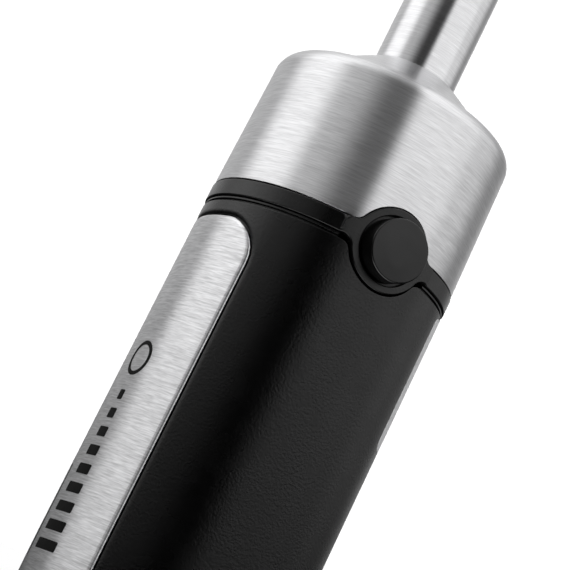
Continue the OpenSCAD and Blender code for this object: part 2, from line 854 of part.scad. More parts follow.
module armature_windings() {
    color("#b5652d") {
        for (z = [core_z - coil_end, core_top_z]) difference() {
            ring(winding_r, motor_shaft_r, z, z + coil_end);
            for (i = [0:poles - 1]) rotate([0, 0, i * 360 / poles])
                translate([winding_r + 0.8, 0, z + 1]) cylinder(r = 1.6, h = coil_end - 2);
        }
        for (i = [0:poles - 1]) rotate([0, 0, i * 360 / poles])
            block(8.8, winding_r - 0.1, -0.7, 0.7, core_z - 0.1, core_top_z + 0.1);
    }
}

module commutator() {
    depth = 0.8;
    color("#c87840") difference() {
        ring(commutator_r, motor_shaft_r, commutator_z, commutator_z + commutator_h);
        for (i = [0:poles - 1]) rotate([0, 0, (i + 0.5) * 360 / poles])
            block(commutator_r - depth, commutator_r + 1, -0.2, 0.2, commutator_z - 1, commutator_z + 13);
    }
}

module cooling_fan() {
    plate_t = 1.4;
    vane_h = 6.4;
    hub = 7;
    vanes = 9;
    color("#d8d2c0") {
        ring(20, motor_shaft_r, fan_z, fan_z + plate_t);
        ring(hub, motor_shaft_r, fan_z + plate_t - 0.1, fan_z + 8);
        for (i = [0:vanes - 1]) rotate([0, 0, i * 360 / vanes])
            translate([0, 0, fan_z + plate_t - 0.2]) linear_extrude(vane_h)
                polygon(concat(arc(13, -8, 9.6, 62, 138, 6), arc(13, -8, 8.6, 138, 62, 6)));
    }
}

module drive_dog() {
    flange_z = cup_top_z + 1;
    color("#444444") difference() {
        union() {
            lobes(dog_core, dog_reach, dog_width, dog_low_z, flange_z);
            translate([0, 0, flange_z - 0.1]) cylinder(r = dog_reach, h = 5);
        }
        translate([0, 0, dog_low_z + 2]) cylinder(r = motor_shaft_r, h = 20);
    }
}

module control_board() {
    t = 1.6;
    face_y = board_y + t / 2;
    color("#1f6b3a") block(-board_half_w, board_half_w, board_y - t / 2, face_y, board_low_z, board_bay_top_z - 1);
    color("#303030") {
        block(-9, -3, face_y - 0.1, face_y + 6, board_low_z + 3, board_low_z + 14);
        block(2, 9, face_y - 0.1, face_y + 4, board_low_z + 22, board_low_z + 33);
        translate([5, face_y - 0.1, board_low_z + 8]) rotate([-90, 0, 0]) cylinder(r = 3.5, h = 6);
    }
}

module micro_switches() {
    front_y = board_y - 6;
    color("#202020") for (z = [power_z, turbo_z]) {
        block(-3, 3, front_y, board_y - 0.8, z - 3, z + 3);
        translate([0, front_y + 0.1, z]) rotate([90, 0, 0]) cylinder(r = 1.4, h = 1.3);
    }
}

// A round wire through a list of points
module wire(points, r = 0.5) {
    for (i = [0:len(points) - 2]) hull() {
        translate(points[i]) sphere(r = r, $fn = 10);
        translate(points[i + 1]) sphere(r = r, $fn = 10);
    }
}

// Leads from the control board to both brush holders and up to the speed track
module wiring_loom() {
    face_y = board_y + 1.35;
    color("#8a2020") for (side = [-1, 1])
        wire([[side * 15, -4.5, commutator_z + 8], [side * 11, -11, bracket_z + bracket_gap - 7],
            [side * 11, -10.8, bracket_z + bracket_gap + 1], [side * 5, face_y, board_low_z + 1.5]]);
    color("#202060")
        wire([[-3, face_y, board_bay_top_z - 2.5], [-3, face_y, board_bay_top_z + 0.5], [-3, -16, track_z - 0.6]]);
}

// ---------- dial and cable inlet ----------

// Arc slot that the dial's finger runs in; the spare angle at each end is the finger's own width
module finger_slot(z0, z1) {
    spare = 7;
    room = finger_r + 0.3;
    intersection() {
        ring(finger_at + room, finger_at - room, z0, z1);
        wedge(finger_angle - spare, finger_angle + dial_sweep + spare, grip_r + 8, z0 - 1, z1 + 1);
    }
}

// Positions of the three posts that carry the speed track
module at_posts(z) {
    for (a = [45, 165, 285]) rotate([0, 0, a]) translate([post_at, 0, z]) children();
}

// Fixed top of the handle: a flange in the sleeve, a hollow boss for the dial to turn on, and posts below
module end_cap() {
    flange_r = grip_at(cap_flange_z) - sleeve_wall - 0.85;
    flange_h = 5.6;
    hollow_r = 9;
    color("#2a2a2a") difference() {
        union() {
            translate([0, 0, cap_flange_z]) cylinder(r = flange_r, h = flange_h);
            translate([0, 0, cap_flange_z]) cylinder(r = boss_r, h = cable_cap_z - cap_flange_z);
            at_posts(track_z + track_t) cylinder(r = 1.7, h = 8);
        }
        finger_slot(cap_flange_z - 1, cap_flange_z + flange_h + 1);
        translate([0, 0, cap_flange_z - 1]) cylinder(r = hollow_r, h = cable_cap_z - cap_flange_z - 7);
        translate([0, 0, cap_flange_z - 1]) cylinder(r = inlet_out_r, h = 40);
        at_posts(track_z) cylinder(r = 0.9, h = 7);
    }
}

module speed_track() {
    color("#1f6b3a") difference() {
        ring(24.4, 14, track_z, track_z + track_t);
        at_posts(track_z - 1) cylinder(r = 1, h = 4);
    }
}

module track_screws() {
    color("silver") at_posts(track_z) rotate([180, 0, 0]) screw(0.9, 6, 1.7, 1.2);
}

module speed_dial() {
    skin = 3;
    roof_z = dial_top_z - skin;
    finger_z = wiper_z + 1.6;
    grips = 36;
    groove_r = 1;
    groove_z = dial_z + 2.6;
    hole = boss_r + 0.1;
    color("#262626") {
        difference() {
            rotate_extrude() polygon(concat(
                [[hole, dial_z], [hole + 1.5, dial_z], [hole + 1.5, roof_z], [dial_r - skin, roof_z],
                 [dial_r - skin, dial_z], [dial_r - 0.3, dial_z], [dial_r, dial_z + 0.3]],
                arc(dial_r - skin, roof_z, skin, 0, 90, 8), [[hole, dial_top_z]]));
            for (i = [0:grips - 1]) rotate([0, 0, i * 360 / grips])
                translate([dial_r + groove_r / 2, 0, groove_z]) cylinder(r = groove_r, h = roof_z - groove_z - 1);
        }
        rotate([0, 0, finger_angle]) translate([finger_at, 0, finger_z])
            cylinder(r = finger_r, h = roof_z + 0.5 - finger_z);
    }
}

module wiper_ring() {
    color("#caa24a") {
        ring(23.2, 18.2, wiper_z, wiper_z + 1.6);
        rotate([0, 0, finger_angle]) for (r = [finger_at - 0.6, finger_at + 1.8])
            translate([r, 0, track_z + track_t + 0.1]) cylinder(r = 0.6, h = wiper_z - track_z - track_t);
    }
}

// Fixed cap over the boss: it keeps the dial on and takes the bush that the mains lead enters through
module cable_cap() {
    cap_r = 17;
    cap_h = 4.8;
    color("#1e1e1e") difference() {
        rotate_extrude() polygon(concat(
            [[inlet_out_r, cable_cap_z], [cap_r - 0.4, cable_cap_z], [cap_r, cable_cap_z + 0.4]],
            arc(cap_r - 2, cable_cap_z + 1.6, 2, 0, 70, 5),
            [[10, cable_cap_z + cap_h - 0.2], [inlet_out_r, cable_cap_z + cap_h]]));
    }
}

module inlet_bush() {
    top_z = cable_cap_z + 5.6;
    low_z = cable_cap_z - 8;
    collar_h = 1.6;
    color("black") difference() {
        union() {
            translate([0, 0, low_z - 1]) cylinder(r = inlet_out_r, h = top_z - 0.7 - low_z + 1);
            translate([0, 0, top_z - 0.8]) cylinder(r = inlet_out_r + 0.8, h = 0.8);
            translate([0, 0, low_z - collar_h]) cylinder(r = inlet_out_r + 2.4, h = collar_h);
        }
        translate([0, 0, low_z - collar_h - 1]) cylinder(r = inlet_r, h = 24);
    }
}

bell_guard();
bell_hub();
lower_bush();
lower_seal();
leg_tube();
tube_guide();
neck_cone();
leg_collar();
leg_socket();
upper_bush();
drive_shaft();
shaft_coupling();
thrust_washer();
blade_hub();
blade_nut();
lower_blade();
upper_blade();
coupling_band();
spigot();
spigot_seal();
spigot_screws();
release_button_left();
release_button_right();
release_spring_left();
release_spring_right();
grip_sleeve();
front_panel();
rating_plate();
chassis_left();
chassis_right();
chassis_screws();
lower_bracket();
upper_bracket();
bearings();
motor_mounts();
stator_core();
field_coils();
motor_screws();
brush_holders();
carbon_brushes();
motor_shaft();
armature_core();
armature_windings();
commutator();
cooling_fan();
drive_dog();
control_board();
micro_switches();
wiring_loom();
power_button();
turbo_button();
power_spring();
turbo_spring();
end_cap();
speed_track();
track_screws();
speed_dial();
wiper_ring();
cable_cap();
inlet_bush();
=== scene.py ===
import json
import math

import bpy
import numpy as np
from mathutils import Matrix, Vector
from mathutils.geometry import delaunay_2d_cdt


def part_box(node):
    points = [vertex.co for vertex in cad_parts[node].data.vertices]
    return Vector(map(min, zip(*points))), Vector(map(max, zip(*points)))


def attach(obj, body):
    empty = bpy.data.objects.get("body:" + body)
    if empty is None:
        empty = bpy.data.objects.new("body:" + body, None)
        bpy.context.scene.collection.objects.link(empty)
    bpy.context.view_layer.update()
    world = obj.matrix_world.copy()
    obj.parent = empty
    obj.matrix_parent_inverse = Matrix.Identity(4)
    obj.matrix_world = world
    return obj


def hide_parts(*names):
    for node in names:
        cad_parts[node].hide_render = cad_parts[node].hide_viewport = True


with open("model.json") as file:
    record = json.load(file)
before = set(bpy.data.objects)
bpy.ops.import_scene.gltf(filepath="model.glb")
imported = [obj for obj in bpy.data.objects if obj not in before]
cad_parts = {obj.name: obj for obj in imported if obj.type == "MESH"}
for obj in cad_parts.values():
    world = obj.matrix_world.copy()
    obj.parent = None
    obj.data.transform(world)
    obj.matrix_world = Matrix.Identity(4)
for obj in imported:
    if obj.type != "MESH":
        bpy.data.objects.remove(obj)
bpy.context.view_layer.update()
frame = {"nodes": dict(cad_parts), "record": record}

# A stick blender: motor handle above, pull-off leg below, standing on the rim of its bell.
# Pieces are worked out in millimetres and turned into metres when their mesh is made.
MM = 0.001
X, Y, Z = 0, 1, 2
TURN = 2 * math.pi
SEAM = math.radians(-135)


def low(node, axis):
    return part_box(node)[0][axis] / MM


def high(node, axis):
    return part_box(node)[1][axis] / MM


# ---------- sizes ----------

# Leg
bell_r = high("bell_guard", Y)
bell_top = high("bell_guard", Z)
bell_wall = 1.3
notch_r = 8
notch_z = 5
tube_r = high("leg_tube", Y)
tube_wall = 1.2
tube_low, tube_top = low("leg_tube", Z), high("leg_tube", Z)
sweep_r = 8
cone_r = high("neck_cone", Y)
collar_r = high("leg_collar", Y)
collar_low, rim_z = low("leg_collar", Z), high("leg_collar", Z)
joint_z = rim_z - 0.8
collar_corner = 4.5
collar_taper = 0.6
collar_wall = 1.4

# Band and release buttons
band_low, band_top = rim_z + 0.3, low("grip_sleeve", Z) - 0.1
band_r = high("coupling_band", Y)
surround_face = high("coupling_band", X)
strap_top = band_low + 4.3
strap_t = 5
surround_r = 10.2
hole_r = 8.35
fillet_r = 3
lip_r = 9.05
lip_x = 30.2
button_z = high("release_button_right", Z) - lip_r
button_face = high("release_button_right", X)
button_r = 7.7
tongue_x = low("release_button_right", X)
tongue_low = low("release_button_right", Z)
tongue_top = joint_z - 2

# Handle
grip_r = high("grip_sleeve", Y)
sleeve_low, sleeve_top = low("grip_sleeve", Z), high("grip_sleeve", Z)
sleeve_wall = 2.4
taper_low = joint_z + 92
taper_drop = 4.2
panel_half = high("front_panel", X)
panel_low, panel_top = low("front_panel", Z), high("front_panel", Z)
panel_corner = 10.2
panel_t = 0.8
panel_gap = 0.3
plate_half = high("rating_plate", X)
plate_low, plate_top = low("rating_plate", Z), high("rating_plate", Z)
plate_corner = 2.2
plate_t = 0.5
plate_gap = 0.2
key_half, key_tall, key_corner = 6.5, 14, 4.5
key_gap = 0.35
key_proud = 1.2
key_lip = 1.4
stem_r = 2
stem_end = high("power_button", Y)
power_z = joint_z + 122
turbo_z = joint_z + 140
vent_low = joint_z + 124
vent_step, vent_count = 4, 7
vent_half, vent_r = 6, 0.9

# Dial and cable inlet
dial_low, dial_top = low("speed_dial", Z), high("speed_dial", Z)
dial_r = high("speed_dial", Y)
dial_bore = 14.1
grooves, groove_r = 36, 1.0
cap_low, cap_top = low("cable_cap", Z), high("cable_cap", Z)
cap_r = high("cable_cap", Y)
bush_top = high("inlet_bush", Z)
bush_r = high("inlet_bush", Y)


# ---------- mesh kit ----------

class Solid:
    """Collects faces with a normal at each corner, and welds them into one mesh."""

    def __init__(self):
        self.points, self.normals, self.faces, self.count = [], [], [], 0

    def add(self, points, normals, faces):
        self.points.append(np.asarray(points, float).reshape(-1, 3))
        self.normals.append(np.asarray(normals, float).reshape(-1, 3))
        self.faces += [[self.count + i for i in f] for f in faces]
        self.count += len(self.points[-1])

    def strip(self, rows, normals):
        """Quads between neighbouring rows of points."""
        rows, normals = np.array(rows), np.array(normals)
        n = rows.shape[1]
        faces = [(k * n + i, k * n + i + 1, (k + 1) * n + i + 1, (k + 1) * n + i)
                 for k in range(len(rows) - 1) for i in range(n - 1)]
        self.add(rows, normals, faces)

    def piece(self, name, material, move=None):
        points, normals = np.concatenate(self.points), np.concatenate(self.normals)
        if move is not None:
            turn = np.array(move)
            points = points @ turn[:3, :3].T + turn[:3, 3]
            normals = normals @ turn[:3, :3].T
        normals /= np.maximum(np.linalg.norm(normals, axis=1), 1e-9)[:, None]
        places, same = np.unique(np.round(points, 4), axis=0, return_inverse=True)
        same = same.ravel()
        faces, corners = [], []
        for face in self.faces:
            kept = [i for k, i in enumerate(face) if same[i] != same[face[k - 1]]]
            if len(kept) < 3 or len({same[i] for i in kept}) < len(kept):
                continue
            a, b, c = (points[kept[k]] for k in (0, 1, -1))
            if np.dot(np.cross(b - a, c - a), normals[kept].sum(0)) < 0:
                kept.reverse()
            faces.append([int(same[i]) for i in kept])
            corners += kept
        mesh = bpy.data.meshes.new(name)
        mesh.from_pydata((places * MM).tolist(), [], faces)
        mesh.shade_smooth()
        mesh.normals_split_custom_set(normals[corners].tolist())
        mesh.materials.append(material)
        thing = bpy.data.objects.new(name, mesh)
        bpy.context.scene.collection.objects.link(thing)
        return thing


def unit(v):
    v = np.asarray(v, float)
    return v / np.maximum(np.linalg.norm(v, axis=-1), 1e-9)[..., None]


def arc(cx, cz, r, a0, a1, n=6):
    """Points of an arc, from angle a0 to a1 in degrees."""
    angles = np.radians(np.linspace(a0, a1, n + 1))
    return [(cx + r * math.cos(a), cz + r * math.sin(a)) for a in angles]


def rounded(corners, steps=5):
    """Knots (r, z, normal r, normal z) of a closed outline from corners (r, z, fillet), anticlockwise."""
    knots = []
    count = len(corners)
    for k, (r, z, fillet) in enumerate(corners):
        here = np.array((r, z))
        before = unit(here - np.array(corners[k - 1][:2]))
        after = unit(np.array(corners[(k + 1) % count][:2]) - here)
        n0, n1 = np.array((before[1], -before[0])), np.array((after[1], -after[0]))
        half = math.acos(max(-1, min(1, float(before @ after)))) / 2
        cut = fillet * math.tan(half)
        side = 1 if before[0] * after[1] - before[1] * after[0] > 0 else -1
        centre = here - before * cut - n0 * fillet * side
        if fillet == 0:
            knots += [(r, z, *n0), (r, z, *n1)]
            continue
        for i in range(steps + 1):
            t = i / steps
            n = unit(n0 * math.sin((1 - t) * 2 * half) + n1 * math.sin(t * 2 * half))
            knots.append((*(centre + n * fillet * side), *n))
    return knots + knots[:1]


def turned(knots, sides=144, solid=None, lift=None):
    """Turns knots (r, z, normal r, normal z) about Z, or about an axis along X at height lift."""
    solid = solid or Solid()
    angles = np.linspace(0, TURN, sides + 1)
    c, s = np.cos(angles), np.sin(angles)
    for k in range(len(knots) - 1):
        rows, normals = [], []
        for r, z, nr, nz in knots[k:k + 2]:
            around, along = np.stack([r * c, r * s]), np.full(sides + 1, z)
            turn, lean = np.stack([nr * c, nr * s]), np.full(sides + 1, nz)
            if lift is None:
                rows.append(np.stack([around[0], around[1], along], 1))
                normals.append(np.stack([turn[0], turn[1], lean], 1))
            else:
                rows.append(np.stack([along, around[0], around[1] + lift], 1))
                normals.append(np.stack([lean, turn[0], turn[1]], 1))
        if math.dist(knots[k][:2], knots[k + 1][:2]) > 1e-6:
            solid.strip(rows, normals)
    return solid


class Skin:
    """A surface turned about Z. line(s) gives radius, height and outward normal (r, z) at length s."""

    def __init__(self, line):
        self.line = line

    def at(self, phi, s, depth=0.0):
        phi, s = np.asarray(phi, float), np.asarray(s, float)
        r, z, nr, nz = self.line(s)
        c, sn = np.cos(phi), np.sin(phi)
        r_in = r - nr * depth
        points = np.stack([r_in * c, r_in * sn, z - nz * depth], -1)
        return points, np.stack([nr * c, nr * sn, nz], -1)

    def seen_from(self, side, outline):
        """The loop (phi, s) of an outline (x, s) that is cut straight in from one side of the object."""
        def loop(grow, depth):
            x, s = outline(grow)
            r, _, nr, _ = self.line(s)
            return side + np.arcsin(x / (r - nr * depth)), s
        return loop

    def edge(self, solid, loop, fillet, depth, drop=None, start=0.0, steps=5):
        """Rounds the edge along a loop, fillet wide and drop deep, and carries its wall down to a depth."""
        drop = drop or fillet
        rows, normals = [], []
        toward = unit(self.at(*loop(0, start), start)[0] - self.at(*loop(0.1, start), start)[0])
        for k in range(steps + 1):
            t = math.pi / 2 * k / steps
            sink = start + drop * (1 - math.cos(t))
            place, n = self.at(*loop(fillet * (1 - math.sin(t)), sink), sink)
            rows.append(place)
            normals.append(n * math.cos(t) * fillet + toward * math.sin(t) * drop)
        if depth > start + drop:
            rows.append(self.at(*loop(0, depth), depth)[0])
            normals.append(toward)
        solid.strip(rows, normals)

    def sheet(self, solid, outer, holes=(), depth=0.0, facing=1, spacing=1.6, extra=None):
        """Fills the region inside the outer loop and outside the holes, all of them (phi, s) loops."""
        radius = grip_r

        def flat(loop):
            return np.stack([np.asarray(loop[0]) * radius, np.asarray(loop[1])], 1)
        rings = [flat(outer)] + [flat(h) for h in holes]
        rings = [r[:-1] if np.allclose(r[0], r[-1]) else r for r in rings]
        a = np.concatenate(rings)
        b = np.concatenate([np.roll(r, -1, 0) for r in rings])
        lo, hi = a.min(0), a.max(0)
        grid = []
        for k, s in enumerate(np.arange(lo[1] + spacing / 2, hi[1], spacing * 0.87)):
            grid += [(u, s) for u in np.arange(lo[0] + spacing * (0.5 + 0.5 * (k % 2)), hi[0], spacing)]
        if extra is not None:
            extra, grid = flat(extra), np.array(grid)
            grid = grid[far_from(grid, extra, extra) > spacing / 2].tolist() + extra.tolist()
        grid = np.array(grid).reshape(-1, 2)
        if len(grid):
            keep = inside(grid, rings[0])
            for r in rings[1:]:
                keep &= ~inside(grid, r)
            grid = grid[keep]
        if len(grid):
            grid = grid[far_from(grid, a, b) > spacing * 0.3]
        every = np.concatenate([a, grid]) if len(grid) else a
        edges, first = [], 0
        for r in rings:
            edges += [(first + i, first + (i + 1) % len(r)) for i in range(len(r))]
            first += len(r)
        found = delaunay_2d_cdt([Vector(p) for p in every], edges, [], 0, 1e-6)
        origin = [o[0] if o else -1 for o in found[3]]
        tris = np.array([[origin[i] for i in f] for f in found[2]])
        tris = tris[(tris >= 0).all(1)]
        middle = every[tris].mean(1)
        keep = inside(middle, rings[0])
        for r in rings[1:]:
            keep &= ~inside(middle, r)
        points, normals = self.at(every[:, 0] / radius, every[:, 1], depth)
        solid.add(points, normals * facing, tris[keep].tolist())


def inside(points, ring):
    x, y = points[:, 0], points[:, 1]
    found = np.zeros(len(points), bool)
    for (x0, y0), (x1, y1) in zip(ring, np.roll(ring, -1, 0)):
        if y0 != y1:
            found ^= ((y0 > y) != (y1 > y)) & (x < (x1 - x0) * (y - y0) / (y1 - y0) + x0)
    return found


def far_from(points, a, b):
    """How far each point is from the nearest of the segments a to b."""
    best = np.full(len(points), np.inf)
    for p, q in zip(a, b):
        d = q - p
        t = np.clip((points - p) @ d / max(d @ d, 1e-12), 0, 1)
        best = np.minimum(best, np.linalg.norm(points - p - t[:, None] * d, axis=1))
    return best


def closed(points):
    x, s = np.array(points).T
    return np.append(x, x[0]), np.append(s, s[0])


def rounded_plate(half, s0, s1, corner, steps=8, pitch=2.5):
    """Outline of a plate with round corners, which grows by g."""
    across = max(1, round(2 * (half - corner) / pitch))
    along = max(1, round((s1 - s0 - 2 * corner) / pitch))

    def outline(g):
        w, lo, hi, r = half - corner, s0 + corner, s1 - corner, corner + g
        points = arc(w, lo, r, -90, 0, steps)
        points += [(w + r, lo + (hi - lo) * i / along) for i in range(1, along)]
        points += arc(w, hi, r, 0, 90, steps)
        points += [(w - 2 * w * i / across, hi + r) for i in range(1, across)]
        points += arc(-w, hi, r, 90, 180, steps)
        points += [(-w - r, hi - (hi - lo) * i / along) for i in range(1, along)]
        points += arc(-w, lo, r, 180, 270, steps)
        points += [(-w + 2 * w * i / across, lo - r) for i in range(1, across)]
        return closed(points)
    return outline


def disc(s, r, n=72):
    return lambda g: closed(arc(0, s, r + g, 0, 360, n)[:-1])


def wrap(base, material, bulge=0, bump_r=0, bump_fillet=0, pitch=2.4):
    """A line (grow, radius) right round the object at height base, which steps round a disc on both sides.
    material is +1 if the material is above the line, and bulge is +1 if the disc pushes the line up."""
    def line(grow, radius):
        height = base + material * grow
        phi, s, last = [SEAM], [height], SEAM
        for side in (0.0, math.pi):
            bump_phi, bump_s = [side], [height]
            if bulge:
                r, fillet = bump_r + material * bulge * grow, bump_fillet - material * bulge * grow
                rise = abs(height - button_z)
                reach = math.sqrt((r + fillet) ** 2 - (rise + fillet) ** 2)
                a = math.degrees(math.atan2(rise + fillet, reach))
                right = arc(0, 0, r, 90, a, 14) + arc(reach, rise + fillet, fillet, 180 + a, 270)[1:]
                both = [(-x, y) for x, y in reversed(right[1:])] + right
                bump_phi = [side + math.asin(x / radius) for x, _ in both]
                bump_s = [button_z + bulge * y for _, y in both]
            steps = round((side - last) * grip_r / pitch)
            last = side
            phi += list(np.linspace(phi[-1], bump_phi[0], steps + 1)[1:-1]) + bump_phi
            s += [height] * (steps - 1) + bump_s
        steps = round((SEAM + TURN - last) * grip_r / pitch)
        phi += list(np.linspace(phi[-1], SEAM + TURN, steps + 1)[1:])
        s += [height] * steps
        return np.array(phi), np.array(s)
    return line


def around(bottom, top, pitch=3.0):
    """Outer loop of a full turn between two lines (phi, s), with the same points on both sides of a seam."""
    steps = max(1, round(abs(top[1][0] - bottom[1][0]) / pitch))
    climb = np.linspace(bottom[1][-1], top[1][-1], steps + 1)[1:-1]
    seam = np.full(len(climb), SEAM)
    phi = np.concatenate([bottom[0], seam + TURN, top[0][::-1], seam])
    s = np.concatenate([bottom[1], climb, top[1][::-1], climb[::-1]])
    return phi, s


# ---------- surfaces ----------

def grip_line(s):
    """The grip's side: straight, then drawn in towards the dial."""
    s = np.asarray(s, float)
    t = np.maximum(0, s - taper_low) / (sleeve_top - taper_low)
    slope = -2 * taper_drop * t / (sleeve_top - taper_low)
    size = np.sqrt(1 + slope ** 2)
    return grip_r - taper_drop * t ** 2, s, 1 / size, -slope / size


def collar_line(s):
    """The collar's side, from its rim down to its rounded shoulder."""
    s = np.asarray(s, float)
    slope = collar_taper / (rim_z - collar_low - collar_corner)
    size = math.sqrt(1 + slope ** 2)
    return collar_r - slope * (rim_z - s), s, np.full_like(s, 1 / size), np.full_like(s, -slope / size)


dome_turn = math.radians(60)
dome_r = 2 * (bell_r - tube_r - sweep_r / 2)
dome_x = bell_r - dome_r
dome_z = bell_top - (sweep_r + dome_r) * math.sin(dome_turn)


def bell_line(s):
    """The bell's skirt and dome. Above the skirt, s runs along the curve."""
    s = np.asarray(s, float)
    a = np.maximum(0, s - dome_z) / dome_r
    height = np.where(s < dome_z, s, dome_z + dome_r * np.sin(a))
    return dome_x + dome_r * np.cos(a), height, np.cos(a), np.sin(a)


class BandSkin(Skin):
    """The band's side: round, with a flatter, slightly raised face round each release button."""
    flat_r = 50
    face_in = 0.15
    face_end, face_start = 13.4, 12.8

    def radius(self, phi, s):
        y = band_r * np.sin(phi)
        face = surround_face - self.face_in - (self.flat_r - np.sqrt(self.flat_r ** 2 - y ** 2))
        t = np.clip((self.face_end - np.abs(y)) / (self.face_end - self.face_start), 0, 1)
        blend = t * t * (3 - 2 * t)
        return band_r + (np.hypot(face, y) - band_r) * blend

    def at(self, phi, s, depth=0.0):
        phi, s = np.asarray(phi, float), np.asarray(s, float)
        r, step = self.radius(phi, s), 1e-4
        lean = (self.radius(phi + step, s) - self.radius(phi - step, s)) / (2 * step * r)
        c, sn = np.cos(phi), np.sin(phi)
        normals = unit(np.stack([c + lean * sn, sn - lean * c, np.zeros_like(r)], -1))
        return np.stack([(r - depth) * c, (r - depth) * sn, s], -1), normals


grip = Skin(grip_line)
FRONT, REAR = -math.pi / 2, math.pi / 2


def seen(outline, side, line=grip_line):
    return Skin(line).seen_from(side, outline)


def key_outline(z):
    return rounded_plate(key_half + key_gap, z - key_tall / 2 - key_gap, z + key_tall / 2 + key_gap,
                         key_corner + key_gap)


# ---------- pieces of the handle ----------

def grip_sleeve(material):
    """Soft sleeve with a pocket for the front panel, a pocket for the rating plate and the air slots."""
    solid = Solid()
    lip, lip_drop, edge, plate_edge, ring_gap = 1.3, 0.5, 0.35, 0.15, 0.4
    floor, plate_floor = panel_t + 0.05, plate_t + 0.05
    bottom = wrap(sleeve_low, 1, 1, surround_r + ring_gap, fillet_r - ring_gap)
    top = wrap(sleeve_top, -1)
    panel = seen(rounded_plate(panel_half + panel_gap, panel_low - panel_gap, panel_top + panel_gap,
                               panel_corner + panel_gap), FRONT)
    plate = seen(rounded_plate(plate_half + plate_gap, plate_low - plate_gap, plate_top + plate_gap,
                               plate_corner + plate_gap), REAR)
    keys = [seen(key_outline(z), FRONT) for z in (power_z, turbo_z)]
    vents = [seen(rounded_plate(vent_half + vent_r, vent_low + vent_step * k - vent_r,
                                vent_low + vent_step * k + vent_r, vent_r * 0.98, 5), REAR)
             for k in range(vent_count)]
    cuts = [(panel, lip, floor, lip_drop), (plate, plate_edge, plate_floor, None)]
    cuts += [(v, edge, sleeve_wall, None) for v in vents]
    for loop, fillet, depth, drop in cuts:
        grip.edge(solid, loop, fillet, depth, drop)
    for line in (bottom, top):
        grip.edge(solid, lambda g, d: line(g, grip_r - d), edge, sleeve_wall)
    outer = around(bottom(edge, grip_r), top(edge, grip_r))
    grip.sheet(solid, outer, [loop(fillet, 0) for loop, fillet, _, _ in cuts])
    for key in keys:
        grip.edge(solid, key, 0.01, sleeve_wall, start=floor)
    grip.sheet(solid, panel(0, floor), [k(0.01, floor) for k in keys], floor, spacing=2.4)
    grip.sheet(solid, plate(0, plate_floor), [], plate_floor, spacing=2.4)
    inner = around(bottom(0, grip_r - sleeve_wall), top(0, grip_r - sleeve_wall))
    grip.sheet(solid, inner, [k(0, sleeve_wall) for k in keys + vents], sleeve_wall, -1, spacing=2.4)
    return solid.piece("grip_sleeve_skin", material)


def front_panel(material):
    """Steel trim panel with rolled edges and two holes for the keys."""
    solid = Solid()
    edge, drop, key_edge = 0.9, 0.5, 0.2
    outline = seen(lambda g: rounded_plate(panel_half, panel_low, panel_top, panel_corner)(-g), FRONT)
    keys = [seen(key_outline(z), FRONT) for z in (power_z, turbo_z)]
    grip.edge(solid, outline, edge, panel_t, drop, steps=8)
    for key in keys:
        grip.edge(solid, key, key_edge, panel_t)
    grip.sheet(solid, outline(edge, 0), [k(key_edge, 0) for k in keys])
    grip.sheet(solid, outline(0, panel_t), [k(0, panel_t) for k in keys], panel_t, -1, spacing=2.4)
    return solid.piece("front_panel_skin", material)


def rating_plate(material):
    solid = Solid()
    edge = 0.2
    outline = seen(lambda g: rounded_plate(plate_half, plate_low, plate_top, plate_corner)(-g), REAR)
    grip.edge(solid, outline, edge, plate_t)
    grip.sheet(solid, outline(edge, 0))
    grip.sheet(solid, outline(0, plate_t), depth=plate_t, facing=-1, spacing=2.4)
    return solid.piece("rating_plate_skin", material)


def coupling_band(material):
    """Strap between leg and grip, with a round face and a hole for the release button on both sides."""
    solid = Solid()
    skin = BandSkin(None)
    edge, hole_edge = 0.25, 0.3
    low_line = wrap(band_low, 1, -1, surround_r, fillet_r)
    top_line = wrap(strap_top, -1, 1, surround_r, fillet_r)

    def hole(side):
        def loop(g, d):
            x, s = disc(button_z, hole_r)(g)
            return side + np.arcsin(x / (band_r - d)), s
        return loop
    holes = [hole(side) for side in (0, math.pi)]
    for line in (low_line, top_line):
        skin.edge(solid, lambda g, d: line(g, band_r - d), edge, strap_t)
    for loop in holes:
        skin.edge(solid, loop, hole_edge, strap_t)
    start, end = skin.face_start, skin.face_end
    across = [*np.linspace(-end, -start, 5), *np.linspace(start, end, 5)]
    crease = [(side + math.asin(y / band_r), s) for side in (0, math.pi) for y in across
              for s in np.arange(band_low + 0.6, strap_top - 0.5, 0.7)]
    outer = around(low_line(edge, band_r), top_line(edge, band_r))
    skin.sheet(solid, outer, [h(hole_edge, 0) for h in holes], spacing=1.2, extra=np.array(crease).T)
    inner = around(low_line(0, band_r - strap_t), top_line(0, band_r - strap_t))
    skin.sheet(solid, inner, [h(0, strap_t) for h in holes], strap_t, -1, spacing=2.4)
    return solid.piece("coupling_band_strap", material)


